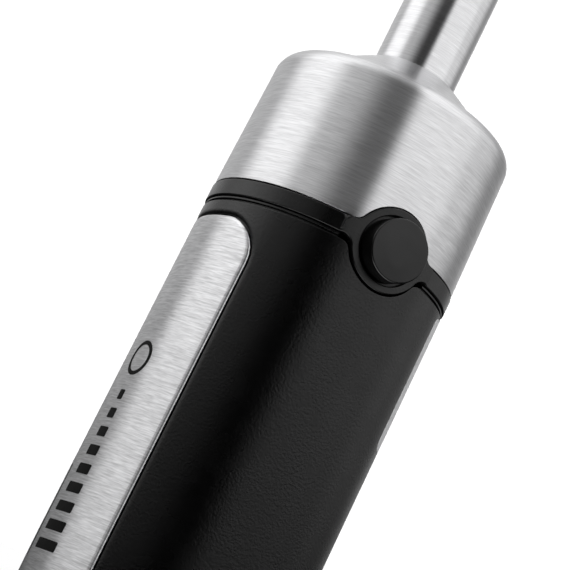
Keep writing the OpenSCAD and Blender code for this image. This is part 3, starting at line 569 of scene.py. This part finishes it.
def band_rib(material):
    """Thin rib between the strap and the grip, which stops at the round faces."""
    solid = Solid()
    rib_r, rib_t, groove_t, round_r, gap, slant, under = band_r - 0.4, 0.5, 0.6, 0.12, 0.35, 0.1, 0.2
    core_r, back_r, rib_end, steps = rib_r - groove_t, band_r - strap_t, 12.9, 100
    foot, rib_low, rib_top = strap_top - under, strap_top + gap, strap_top + gap + rib_t
    knots = rounded([(back_r, foot, 0), (core_r, foot, 0), (core_r, rib_low - slant, 0),
                     (rib_r, rib_low, round_r), (rib_r, rib_top, round_r), (core_r, rib_top + slant, 0),
                     (core_r, band_top, 0), (back_r, band_top, 0)])
    reach = math.asin(rib_end / rib_r)
    for side in (0.0, math.pi):
        angles = np.linspace(side + reach, side + math.pi - reach, steps)

        def swept(out, up):
            return np.stack([out * np.cos(angles), out * np.sin(angles), np.full(steps, up)], 1)
        for pair in zip(knots, knots[1:]):
            if math.dist(pair[0][:2], pair[1][:2]) > 1e-6:
                solid.strip([swept(*knot[:2]) for knot in pair], [swept(*knot[2:]) for knot in pair])
        for a, turn in ((angles[0], -1), (angles[-1], 1)):
            points = [(knot[0] * math.cos(a), knot[0] * math.sin(a), knot[1]) for knot in knots[:-1]]
            normal = (-turn * math.sin(a), turn * math.cos(a), 0)
            solid.add(points, [normal] * len(points), [range(len(points))])
    return solid.piece("coupling_band_rib", material)


def release_button(name, side, material):
    """Cup-shaped button with a softened rim and its latch tongue, on the +X side or turned round."""
    edge, crown, crown_r, back, front = 0.4, 0.12, 40, lip_x + 0.2, lip_x + 1
    solid = turned(rounded([
        (0, back, 0), (lip_r, back, 0), (lip_r, front, 0), (button_r, front, 0),
        (button_r, button_face - crown, edge), (button_r / 2, button_face, crown_r), (0, button_face, 0)]),
        96, lift=button_z)
    half, hook, thick, slope, hook_t, arm_t, root = 4.0, 1.9, 2.2, 2.4, 3.5, 1.8, lip_x + 0.3
    out, tip = tongue_x + thick, tongue_x + thick + hook
    line = [(tongue_x, tongue_low), (out, tongue_low), (tip, tongue_low + slope), (tip, tongue_low + hook_t),
            (out, tongue_low + hook_t), (out, tongue_top - arm_t), (root, tongue_top - arm_t),
            (root, tongue_top), (tongue_x, tongue_top)]
    for k, (x, z) in enumerate(line):
        x0, z0 = line[k - 1]
        n = unit((z - z0, 0, x0 - x))
        solid.add([(x0, -half, z0), (x, -half, z), (x, half, z), (x0, half, z0)], [n] * 4, [(0, 1, 2, 3)])
    for y in (-half, half):
        solid.add([(x, y, z) for x, z in line], [(0, y / half, 0)] * len(line), [range(len(line))])
    return solid.piece(name, material, Matrix.Rotation(side, 4, "Z"))


def block(solid, outline, y0, y1):
    """A straight block from y0 to y1 with a closed outline (x, z), anticlockwise as seen from the front."""
    x, z = outline
    across = unit(np.stack([np.gradient(z), np.zeros_like(x), -np.gradient(x)], 1))
    ends = [np.stack([x, np.full_like(x, y), z], 1) for y in (y0, y1)]
    solid.strip(ends, [across, across])
    for end, facing in zip(ends, (-1, 1)):
        solid.add(end[:-1], [(0, facing, 0)] * (len(x) - 1), [range(len(x) - 1)])


def dome_key(name, z, material):
    """Key with a soft-edged cap a little proud of the panel, a lip behind the sleeve's wall and a stem."""
    solid = Solid()
    edge, skirt, lip_t, wall_gap = 0.8, 3.9, 1.2, 0.3
    half, tall, corner = key_half + key_lip, key_tall / 2 + key_lip, key_corner + key_lip
    wall_r = float(grip_line(z + tall)[0]) - sleeve_wall
    lip_y = wall_gap - math.sqrt(wall_r ** 2 - half ** 2)
    cap = rounded_plate(key_half, z - key_tall / 2, z + key_tall / 2, key_corner)
    outline = seen(lambda g: cap(-g), FRONT)
    grip.edge(solid, outline, edge, skirt, start=-key_proud)
    grip.sheet(solid, outline(edge, -key_proud), depth=-key_proud, spacing=1.0)
    block(solid, rounded_plate(half, z - tall, z + tall, corner)(0), lip_y, lip_y + lip_t)
    block(solid, disc(z, stem_r, 32)(0), lip_y + lip_t / 2, stem_end)
    return solid.piece(name, material)


def power_scale(material):
    """Plain print on the panel: a ring, a row of bars that grow towards the dial and a thin line."""
    solid = Solid()
    ink, middle = 0.03, -2.2
    bars, bar_t, bar_step, shortest, longest = 9, 2.6, 4.9, 2.4, 10.6
    ring_z, ring_r, ring_t = panel_low + 39.5, 4.6, 1.1
    scale_z, line_x, line_t, line_rise = panel_low + 48, 7.6, 0.5, 20

    def printed(outline, shift):
        return seen(lambda g: (outline(-g)[0] + shift, outline(-g)[1]), FRONT)
    line = rounded_plate(line_t, scale_z + line_rise, scale_z + bars * bar_step, line_t * 0.9, 3)
    marks = [printed(line, line_x)]
    for k in range(bars):
        half = (shortest + (longest - shortest) * k / (bars - 1)) / 2
        foot = scale_z + k * bar_step
        marks.append(printed(rounded_plate(half, foot, foot + bar_t, 0.4, 3, 0.8), middle))
    ring, hole = (printed(disc(ring_z, r), middle) for r in (ring_r, ring_r - ring_t))
    for loop in [*marks, ring]:
        grip.edge(solid, loop, ink / 3, 0, start=-ink)
    for loop in marks:
        grip.sheet(solid, loop(ink / 3, -ink), depth=-ink, spacing=0.8)
    grip.sheet(solid, ring(ink / 3, -ink), [hole(-ink / 3, -ink)], -ink)
    return solid.piece("front_panel_print", material)


# ---------- dial and cable inlet ----------

def speed_dial(material):
    """Hollow ring dial with half-round grooves that fade out towards a rounded top edge."""
    skin, chamfer, bore_edge, bore_wall, groove_steps, deeper = 3.0, 0.4, 0.4, 1.4, 20, 0.12
    roof = dial_top - skin
    groove_low, groove_top, fade = dial_low + 2.6, roof - 1, 1.2
    side = arc(dial_r - chamfer, dial_low + chamfer, chamfer, -90, 0, 4)
    side += [(dial_r, z) for z in np.linspace(dial_low + 0.8, roof - 0.2, 32)]
    side += arc(dial_r - skin, roof, skin, 0, 90, 10)
    side += [(r, dial_top) for r in np.linspace(dial_r - skin - 1, dial_bore + 1.2, 8)]
    side += arc(dial_bore + bore_edge, dial_top - bore_edge, bore_edge, 90, 180, 4)
    hollow = [(dial_bore, dial_low), (dial_bore + bore_wall, dial_low), (dial_bore + bore_wall, roof),
              (dial_r - skin, roof), (dial_r - skin, dial_low)]
    side += [point for point in hollow for _ in range(2)] + side[:1]
    r, z = np.array(side).T
    phi = np.linspace(0, TURN, grooves * groove_steps + 1)
    across = (np.mod(phi * grooves / TURN + 0.5, 1) - 0.5) * TURN / grooves * dial_r
    cut = np.maximum(0, np.sqrt(np.maximum(0, groove_r ** 2 - across ** 2)) - groove_r / 2 + deeper)
    rise = np.clip(np.minimum(z - groove_low, groove_top - z) / fade, 0, 1)
    rise = np.where(r > dial_r - 0.01, rise * rise * (3 - 2 * rise), 0)
    radius = r[:, None] - rise[:, None] * cut[None, :]
    points = np.stack([radius * np.cos(phi), radius * np.sin(phi), np.repeat(z[:, None], len(phi), 1)], -1)
    along = np.gradient(points, axis=0)
    along[0] = along[-1] = points[1] - points[-2]
    seam = points[:, 1:2] - points[:, -2:-1]
    turn = np.concatenate([seam, points[:, 2:] - points[:, :-2], seam], 1)
    solid = Solid()
    solid.strip(points, unit(np.cross(turn, along)))
    return solid.piece("speed_dial_skin", material)


def turned_piece(name, corners, material, sides=144):
    return turned(rounded(corners), sides).piece(name, material)


def cable_cap(material):
    bore, crown_r = 5.6, 10
    return turned_piece("cable_cap_skin", [
        (bore, cap_low, 0), (cap_r, cap_low, 0.4), (cap_r, cap_top - 1.2, 1.6),
        (crown_r, cap_top - 0.2, 2.0), (bore, cap_top, 0.3)], material)


def inlet_bush(material, inlet_r):
    """Rubber bush with a flared mouth for the mains lead."""
    waist, collar, flare, mouth = 5.5, 6.35, 1.0, 1.6
    foot, flange, lip = low("inlet_bush", Z), low("inlet_bush", Z) + 1.6, cap_top + 0.05
    return turned_piece("inlet_bush_skin", [
        (inlet_r, foot, 0.2), (bush_r, foot, 0.3), (bush_r, flange, 0.3), (waist, flange, 0),
        (waist, lip, 0), (collar, lip, 0.2), (collar, bush_top, 0.35), (inlet_r + flare, bush_top, 0.7),
        (inlet_r, bush_top - mouth, 0.8)], material, 96)


# ---------- pieces of the leg ----------

def leg_collar(material):
    """Steel collar with a rounded shoulder; its rim steps round the faces of the release buttons."""
    solid = Solid()
    edge, wall, ring_gap, cone_gap = 0.18, collar_wall, 0.3, 0.15
    skin = Skin(collar_line)
    corner_z = collar_low + collar_corner
    rim = wrap(rim_z, -1, -1, surround_r + ring_gap, fillet_r - ring_gap)
    phi, s = rim(edge, collar_r)
    skin.edge(solid, lambda g, d: rim(g, collar_r - d), edge, wall)
    skin.sheet(solid, around((phi, np.full_like(phi, corner_z)), (phi, s)))
    inner = rim(0, collar_r - wall)
    skin.sheet(solid, around((inner[0], np.full_like(inner[0], corner_z)), inner), depth=wall, facing=-1,
               spacing=2.4)
    r = float(skin.line(corner_z)[0])
    throat_r, floor, centre = cone_r + cone_gap, collar_low + wall, r - collar_corner
    knots = [(r - wall, corner_z, -1, 0)]
    knots += [(x, z, -math.cos(a), math.sin(a)) for (x, z), a in
              zip(arc(centre, corner_z, collar_corner - wall, 0, -90, 8), np.linspace(0, math.pi / 2, 9))]
    knots += [(throat_r, floor, 0, 1), (throat_r, floor, -1, 0),
              (throat_r, collar_low + cone_gap, -1, 0), (throat_r + cone_gap, collar_low, 0, -1)]
    knots += [(x, z, math.sin(a), -math.cos(a)) for (x, z), a in
              zip(arc(centre, corner_z, collar_corner, -90, 0, 12), np.linspace(0, math.pi / 2, 13))]
    turned(knots, solid=solid)
    return solid.piece("leg_collar_skin", material)


def neck_cone(material):
    """Shallow cone between tube and collar, with a small weld fillet at the tube."""
    bore, fillet, step, rise, inner_rise = tube_r - tube_wall, 0.8, 0.02, 0.25, 2.5
    return turned_piece("neck_cone_skin", [
        (bore, tube_top, 0), (tube_r + step, tube_top, 0), (tube_r + fillet, tube_top + rise, fillet),
        (cone_r, collar_low, 0.3), (cone_r, collar_low + collar_wall, 0), (bore, tube_top + inner_rise, 0)],
        material)


def leg_tube(material):
    bore = tube_r - tube_wall
    return turned_piece("leg_tube_skin", [
        (bore, tube_low, 0), (tube_r, tube_low, 0), (tube_r, tube_top, 0), (bore, tube_top, 0)], material, 96)


def bell_guard(material):
    """Spun bell with four arched notches in its rim and a hollow sweep up to the tube."""
    solid = Solid()
    edge, foot, knee, steps = 0.35, 0.6, 3.2, 8
    sweep_start = dome_z + dome_r * dome_turn
    skin = Skin(bell_line)

    def rim(g, radius):
        phi, s = [SEAM], [g]
        for k in range(4):
            side, r = math.radians(90 * (k - 1)), notch_r + g
            half = arc(0, notch_z, r, 90, 0, 10) + [(r, knee)] + arc(r + foot, g + foot, foot, 180, 270, 4)
            both = [(-x, z) for x, z in reversed(half[1:])] + half
            turns = [side + math.asin(x / radius) for x, _ in both]
            phi += list(np.linspace(phi[-1], turns[0], steps + 1)[1:-1]) + turns
            s += [g] * (steps - 1) + [z for _, z in both]
        phi += list(np.linspace(phi[-1], SEAM + TURN, steps + 1)[1:])
        s += [g] * steps
        return np.array(phi), np.array(s)
    skin.edge(solid, lambda g, d: rim(g, bell_r - d), edge, bell_wall)
    phi, s = rim(edge, bell_r)
    top = np.full_like(phi, sweep_start)
    skin.sheet(solid, around((phi, s), (phi, top)), spacing=2.0)
    inner = rim(0, bell_r - bell_wall)
    skin.sheet(solid, around(inner, (inner[0], np.full_like(inner[0], sweep_start))), depth=bell_wall,
               facing=-1, spacing=2.0)
    for t, facing in ((0, 1), (bell_wall, -1)):
        sweep = arc(tube_r + sweep_r, bell_top, sweep_r + t, 240, 180, 8)
        turned([(x, z, -facing * math.cos(a), -facing * math.sin(a))
                for (x, z), a in zip(sweep, np.radians(np.linspace(240, 180, 9)))], solid=solid)
    turned([(tube_r - bell_wall, bell_top, 0, 1), (tube_r, bell_top, 0, 1)], solid=solid)
    return solid.piece("bell_guard_skin", material)


# ---------- materials ----------

def math_node(tree, operation, *values):
    """A math node whose inputs are numbers or links."""
    node = tree.nodes.new("ShaderNodeMath")
    node.operation = operation
    for k, value in enumerate(values):
        if isinstance(value, (int, float)):
            node.inputs[k].default_value = value
        else:
            tree.links.new(value, node.inputs[k])
    return node.outputs[0]


def range_node(tree, value, start, end, lo, hi, step="LINEAR"):
    """Maps the range from start to end onto the one from lo to hi."""
    node = tree.nodes.new("ShaderNodeMapRange")
    node.interpolation_type = step
    for name, number in (("From Min", start), ("From Max", end), ("To Min", lo), ("To Max", hi)):
        node.inputs[name].default_value = number
    tree.links.new(value, node.inputs["Value"])
    return node.outputs["Result"]


class Paint:
    """One procedural material: a Principled shader with helpers that add noise to its sockets."""

    def __init__(self, name, colour, metallic, roughness, **constants):
        self.material = bpy.data.materials.new(name)
        self.material.use_nodes = True
        self.tree = self.material.node_tree
        self.nodes, self.links = self.tree.nodes, self.tree.links
        self.shader = self.nodes["Principled BSDF"]
        self.colour, self.roughness = colour, roughness
        self.set("Base Color", (*colour, 1))
        self.set("Metallic", metallic)
        self.set("Roughness", roughness)
        for socket, value in constants.items():
            self.set(socket.replace("_", " ").title().replace("Ior", "IOR"), value)
        self.normal = None
        self.coordinates = self.nodes.new("ShaderNodeTexCoord").outputs["Object"]

    def set(self, socket, value):
        self.shader.inputs[socket].default_value = value

    def noise(self, scale, detail=2.0, rough=0.55):
        """Noise with a scale per metre along X, Y and Z."""
        mapping = self.nodes.new("ShaderNodeMapping")
        mapping.inputs["Scale"].default_value = scale
        self.links.new(self.coordinates, mapping.inputs["Vector"])
        noise = self.nodes.new("ShaderNodeTexNoise")
        noise.inputs["Scale"].default_value = 1.0
        noise.inputs["Detail"].default_value = detail
        noise.inputs["Roughness"].default_value = rough
        self.links.new(mapping.outputs["Vector"], noise.inputs["Vector"])
        return noise.outputs["Fac"]

    def vary_roughness(self, value, spread):
        varied = range_node(self.tree, value, 0.3, 0.7, self.roughness - spread, self.roughness + spread)
        self.links.new(varied, self.shader.inputs["Roughness"])

    def vary_colour(self, value, spread):
        """Lightens and darkens the base colour by a share of itself."""
        ramp = self.nodes.new("ShaderNodeValToRGB")
        for k, share in enumerate((1 - spread, 1 + spread)):
            element = ramp.color_ramp.elements[k]
            element.position = 0.3 + 0.4 * k
            element.color = (*[min(1, c * share) for c in self.colour], 1)
        self.links.new(value, ramp.inputs["Fac"])
        self.links.new(ramp.outputs["Color"], self.shader.inputs["Base Color"])

    def bump(self, value, height):
        """Bumps of a height in metres, on top of any that are there."""
        node = self.nodes.new("ShaderNodeBump")
        node.inputs["Strength"].default_value = 1.0
        node.inputs["Distance"].default_value = height
        self.links.new(value, node.inputs["Height"])
        if self.normal:
            self.links.new(self.normal, node.inputs["Normal"])
        self.normal = node.outputs["Normal"]
        self.links.new(self.normal, self.shader.inputs["Normal"])

    def brush_round(self):
        """Turns the steel's stretched highlights across hairlines that run round the Z axis."""
        tangent = self.nodes.new("ShaderNodeTangent")
        tangent.direction_type = "RADIAL"
        tangent.axis = "Z"
        self.links.new(tangent.outputs["Tangent"], self.shader.inputs["Tangent"])
        self.set("Anisotropic Rotation", 0.25)


def brushed_steel(name, colour, roughness, streak=3400, depth=3e-6, along=150, contrast=0.15):
    """Steel with fine hairlines round the axis; streak is the noise scale per metre of height."""
    paint = Paint(name, colour, 1.0, roughness, anisotropic=0.92)
    hairlines = paint.noise((along, along, streak), 2.0, 0.7)
    bands = paint.noise((30, 30, 900), 2.0)
    paint.vary_roughness(bands, roughness * 0.04)
    paint.vary_colour(hairlines, contrast)
    paint.bump(hairlines, depth)
    paint.brush_round()
    return paint.material


def moulded(name, colour, roughness, grain=2500, depth=4e-6, mottle=0.18, metallic=0.0, **constants):
    """Moulded or cast surface: a fine even grain, with patches that are a little duller."""
    paint = Paint(name, colour, metallic, roughness, **constants)
    fine = paint.noise((grain,) * 3, 3.0, 0.6)
    patches = paint.noise((140,) * 3, 2.0)
    paint.vary_colour(patches, mottle)
    paint.vary_roughness(patches, roughness * 0.12)
    paint.bump(fine, depth)
    return paint.material


def turned_metal(name, colour, roughness, streak=5000, depth=1.5e-6):
    """Turned or ground metal, with tool marks round the Z axis."""
    paint = Paint(name, colour, 1.0, roughness, anisotropic=0.4)
    marks = paint.noise((60, 60, streak), 2.0)
    stains = paint.noise((90,) * 3, 2.0)
    paint.vary_roughness(stains, roughness * 0.25)
    paint.vary_colour(stains, 0.08)
    paint.bump(marks, depth)
    paint.brush_round()
    return paint.material


def printed_plate(name, colour):
    """Rating plate: satin aluminium with plain ruled lines where a real one carries print."""
    spacing, rule_start, rule_end = 0.0021, 0.00018, 0.00026
    margin_start, margin_end = 0.0168, 0.0170
    ink = (0.03, 0.03, 0.03, 1)
    paint = Paint(name, colour, 0.35, 0.42)
    split = paint.nodes.new("ShaderNodeSeparateXYZ")
    paint.links.new(paint.coordinates, split.inputs["Vector"])
    wave = math_node(paint.tree, "PINGPONG", split.outputs["Z"], spacing)
    ruled = range_node(paint.tree, wave, rule_start, rule_end, 0.25, 1.0)
    aside = math_node(paint.tree, "ABSOLUTE", split.outputs["X"])
    margin = range_node(paint.tree, aside, margin_start, margin_end, 0, 1)
    mix = paint.nodes.new("ShaderNodeMixRGB")
    mix.inputs["Color1"].default_value = ink
    mix.inputs["Color2"].default_value = (*colour, 1)
    paint.links.new(math_node(paint.tree, "MAXIMUM", ruled, margin), mix.inputs["Fac"])
    paint.links.new(mix.outputs["Color"], paint.shader.inputs["Base Color"])
    fine = paint.noise((2200,) * 3)
    paint.vary_roughness(fine, 0.05)
    paint.bump(fine, 2e-6)
    return paint.material


def laminated(name):
    """Stack of thin steel sheets."""
    paint = Paint(name, (0.32, 0.32, 0.34), 0.9, 0.45)
    sheets = paint.noise((1, 1, 2000), 0.0)
    patches = paint.noise((300,) * 3)
    paint.vary_colour(patches, 0.2)
    paint.vary_roughness(patches, 0.08)
    paint.bump(sheets, 3e-5)
    return paint.material


def wound_copper(name):
    """Enamelled wire, wound in turns that run along the axis."""
    paint = Paint(name, (0.50, 0.17, 0.05), 0.85, 0.32)
    turns = paint.noise((2600, 2600, 60), 1.0)
    paint.vary_colour(turns, 0.35)
    paint.vary_roughness(turns, 0.08)
    paint.bump(turns, 8e-5)
    return paint.material


def circuit_board(name):
    paint = Paint(name, (0.015, 0.10, 0.035), 0.0, 0.35)
    tracks = paint.noise((500,) * 3, 0.0)
    paint.vary_colour(tracks, 0.5)
    paint.vary_roughness(tracks, 0.08)
    paint.bump(tracks, 2e-5)
    return paint.material


# ---------- finishes of the material slots ----------

finishes = {
    "brushed_steel": brushed_steel("brushed_steel", (0.70, 0.70, 0.71), 0.34),
    "satin_steel": brushed_steel("satin_steel", (0.70, 0.70, 0.71), 0.30, streak=7000, depth=1.2e-6),
    "shaft_steel": turned_metal("shaft_steel", (0.55, 0.55, 0.56), 0.25),
    "blade_steel": turned_metal("blade_steel", (0.60, 0.60, 0.61), 0.22, streak=3000),
    "screw_steel": turned_metal("screw_steel", (0.45, 0.45, 0.46), 0.34),
    "cast_alloy": moulded("cast_alloy", (0.45, 0.45, 0.46), 0.5, 1800, 2e-5, metallic=0.9),
    "printed_aluminium": printed_plate("printed_aluminium", (0.62, 0.62, 0.63)),
    "laminations": laminated("laminations"),
    "copper": wound_copper("copper"),
    "bronze": turned_metal("bronze", (0.50, 0.30, 0.12), 0.38),
    "soft_grip": moulded("soft_grip", (0.0008, 0.0008, 0.0009), 0.27, 1700, 6e-5, 0.3, ior=1.38),
    "band_plastic": moulded("band_plastic", (0.0010, 0.0010, 0.0011), 0.30, 1700, 4e-5, 0.3, ior=1.40),
    "button_plastic": moulded("button_plastic", (0.0012, 0.0012, 0.0013), 0.33, 1900, 8e-6, 0.3, ior=1.42),
    "dial_plastic": moulded("dial_plastic", (0.0016, 0.0016, 0.0017), 0.36, 3000, 3e-6, 0.2, ior=1.40),
    "inner_plastic": moulded("inner_plastic", (0.030, 0.030, 0.032), 0.48, 2200, 6e-6),
    "fan_plastic": moulded("fan_plastic", (0.60, 0.57, 0.48), 0.45),
    "wire_plastic": moulded("wire_plastic", (0.35, 0.02, 0.015), 0.4, 2000, 5e-6),
    "circuit_board": circuit_board("circuit_board"),
    "phenolic": moulded("phenolic", (0.055, 0.025, 0.012), 0.4, 1500, 1e-5, 0.3),
    "carbon": moulded("carbon", (0.02, 0.02, 0.02), 0.55, 3000, 1e-5, 0.3),
    "seal_rubber": moulded("seal_rubber", (0.008, 0.008, 0.008), 0.6, 2600, 8e-6, 0.25),
}
panel_steel = brushed_steel("panel_steel", (0.70, 0.70, 0.71), 0.34, 2500, 5e-6, along=190, contrast=0.24)
print_ink = moulded("print_ink", (0.0008, 0.0008, 0.0008), 0.6, 2600, 4e-6, 0.2, ior=1.22)
soft_edges = ["bell_hub", "leg_socket", "spigot", "blade_hub", "blade_nut", "end_cap", "drive_dog",
              "shaft_coupling", "lower_blade", "upper_blade"]


def finish_cad_nodes():
    """Every CAD node gets its slot's finish, and those with plain edges that show get a small bevel."""
    for part in frame["record"]["subparts"]:
        node = frame["nodes"][part["node"]]
        node.data.materials.clear()
        node.data.materials.append(finishes[part["material_slot"]])
    for name in soft_edges:
        node = frame["nodes"][name]
        bevel = node.modifiers.new("soft_edges", "BEVEL")
        bevel.width = 0.15 * MM
        bevel.segments = 2
        bevel.limit_method = "ANGLE"
        bevel.angle_limit = math.radians(40)
        bevel.harden_normals = True


def dress(piece, body, slot, *nodes):
    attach(piece, body)
    if nodes:
        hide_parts(*nodes)
    return piece


def add_pieces():
    steel, satin = finishes["brushed_steel"], finishes["satin_steel"]
    band, button = finishes["band_plastic"], finishes["button_plastic"]
    inlet_r = next(m for m in frame["record"]["mounts"] if m["name"] == "cable_inlet")["dims"]["r_mm"]
    dress(bell_guard(satin), "leg", "satin_steel", "bell_guard")
    dress(leg_tube(satin), "leg", "satin_steel", "leg_tube")
    dress(neck_cone(satin), "leg", "satin_steel", "neck_cone")
    dress(leg_collar(steel), "leg", "brushed_steel", "leg_collar")
    dress(coupling_band(band), "motor_unit", "band_plastic", "coupling_band")
    dress(band_rib(band), "motor_unit", "band_plastic")
    for name, side in (("right", 0.0), ("left", math.pi)):
        piece = release_button(f"release_button_{name}_skin", side, button)
        dress(piece, f"release_{name}", "button_plastic", f"release_button_{name}")
    dress(grip_sleeve(finishes["soft_grip"]), "motor_unit", "soft_grip", "grip_sleeve")
    dress(front_panel(panel_steel), "motor_unit", "brushed_steel", "front_panel")
    dress(rating_plate(finishes["printed_aluminium"]), "motor_unit", "printed_aluminium", "rating_plate")
    dress(power_scale(print_ink), "motor_unit", "band_plastic")
    dress(speed_dial(finishes["dial_plastic"]), "dial", "dial_plastic", "speed_dial")
    dress(cable_cap(band), "motor_unit", "band_plastic", "cable_cap")
    dress(inlet_bush(finishes["seal_rubber"], inlet_r), "motor_unit", "seal_rubber", "inlet_bush")
    for name, z in (("power", power_z), ("turbo", turbo_z)):
        dress(dome_key(f"{name}_button_skin", z, button), f"{name}_key", "button_plastic", f"{name}_button")


# ---------- floor, light and camera ----------

def add_floor():
    half = 6.0
    corners = [(-half, -half, 0), (half, -half, 0), (half, half, 0), (-half, half, 0)]
    mesh = bpy.data.meshes.new("floor")
    mesh.from_pydata(corners, [], [(0, 1, 2, 3)])
    paint = Paint("pale_floor", (0.9, 0.9, 0.9), 0.0, 0.8)
    paint.vary_roughness(paint.noise((3,) * 3), 0.05)
    mesh.materials.append(paint.material)
    floor = bpy.data.objects.new("floor", mesh)
    bpy.context.scene.collection.objects.link(floor)
    floor.visible_glossy = False


# Studio boxes seen in reflections: compass angle, half width, softness (degrees) and strength
view_side = -156
boxes = [
    ("main", view_side - 50, 30, 13, 1.75),
    ("tail", view_side - 75, 25, 45, 1.30),
    ("back", view_side + 180, 2, 20, 0.8),
    ("far", view_side - 145, 18, 40, 0.46),
    ("strip", view_side + 87, 12, 34, 2.2),
    ("fill", view_side + 120, 76, 36, 0.88),
]


def add_studio():
    """Plain studio: bright boxes round the object, a bright ceiling and a white backdrop for the camera."""
    world = bpy.data.worlds.new("studio")
    bpy.context.scene.world = world
    world.use_nodes = True
    tree = world.node_tree
    nodes, links = tree.nodes, tree.links
    nodes.clear()

    def ranged(value, *limits):
        return range_node(tree, value, *limits, "SMOOTHSTEP")

    direction = nodes.new("ShaderNodeTexCoord").outputs["Generated"]
    split = nodes.new("ShaderNodeSeparateXYZ")
    links.new(direction, split.inputs[0])
    compass = math_node(tree, "ARCTAN2", split.outputs["Y"], split.outputs["X"])
    level = 0.01
    for _, centre, half, soft, strength in boxes:
        turn = math_node(tree, "SUBTRACT", compass, math.radians(centre))
        apart = math_node(tree, "ABSOLUTE", math_node(tree, "WRAP", turn, math.pi, -math.pi))
        glow = ranged(apart, math.radians(half), math.radians(half + soft), strength, 0)
        level = math_node(tree, "MAXIMUM", glow, level)
    below = ranged(split.outputs["Z"], 0.0, -0.25, 0.03, 1.12)
    ground = ranged(split.outputs["Z"], -0.62, -0.92, 0, 0.9)
    ceiling = ranged(split.outputs["Z"], 0.72, 0.88, 0, 4.5)
    level = math_node(tree, "MAXIMUM", math_node(tree, "MULTIPLY", level, below), ground)
    level = math_node(tree, "ADD", level, ceiling)
    studio = nodes.new("ShaderNodeBackground")
    links.new(level, studio.inputs["Strength"])
    backdrop = nodes.new("ShaderNodeBackground")
    backdrop.inputs["Color"].default_value = (1, 1, 1, 1)
    ray = nodes.new("ShaderNodeLightPath")
    mix = nodes.new("ShaderNodeMixShader")
    links.new(ray.outputs["Is Camera Ray"], mix.inputs["Fac"])
    links.new(studio.outputs[0], mix.inputs[1])
    links.new(backdrop.outputs[0], mix.inputs[2])
    out = nodes.new("ShaderNodeOutputWorld")
    links.new(mix.outputs[0], out.inputs["Surface"])
    bpy.context.scene.view_settings.view_transform = "Standard"


def add_camera():
    """Looks at the joint from the side, a little above, rolled so that the leg points up and right."""
    azimuth, elevation, roll = math.radians(-66.4), math.radians(12.98), math.radians(-153.66)
    distance, aim_x, aim_y = 0.4979, 0.01185, 0.01083
    back = Vector((math.sin(azimuth) * math.cos(elevation), -math.cos(azimuth) * math.cos(elevation),
                   math.sin(elevation)))
    level = (-back).cross(Vector((0, 0, 1))).normalized()
    upright = level.cross(-back)
    right = math.cos(roll) * level + math.sin(roll) * upright
    up = math.cos(roll) * upright - math.sin(roll) * level
    place = Vector((0, 0, joint_z * MM)) + distance * back - aim_x * right - aim_y * up
    camera = bpy.data.cameras.new("camera")
    camera.lens, camera.sensor_width = 125.5, 36
    camera.clip_start = 0.01
    thing = bpy.data.objects.new("camera", camera)
    thing.matrix_world = Matrix.Translation(place) @ Matrix((right, up, back)).transposed().to_4x4()
    bpy.context.scene.collection.objects.link(thing)
    bpy.context.scene.camera = thing


add_camera()
add_studio()
add_floor()
finish_cad_nodes()
add_pieces()
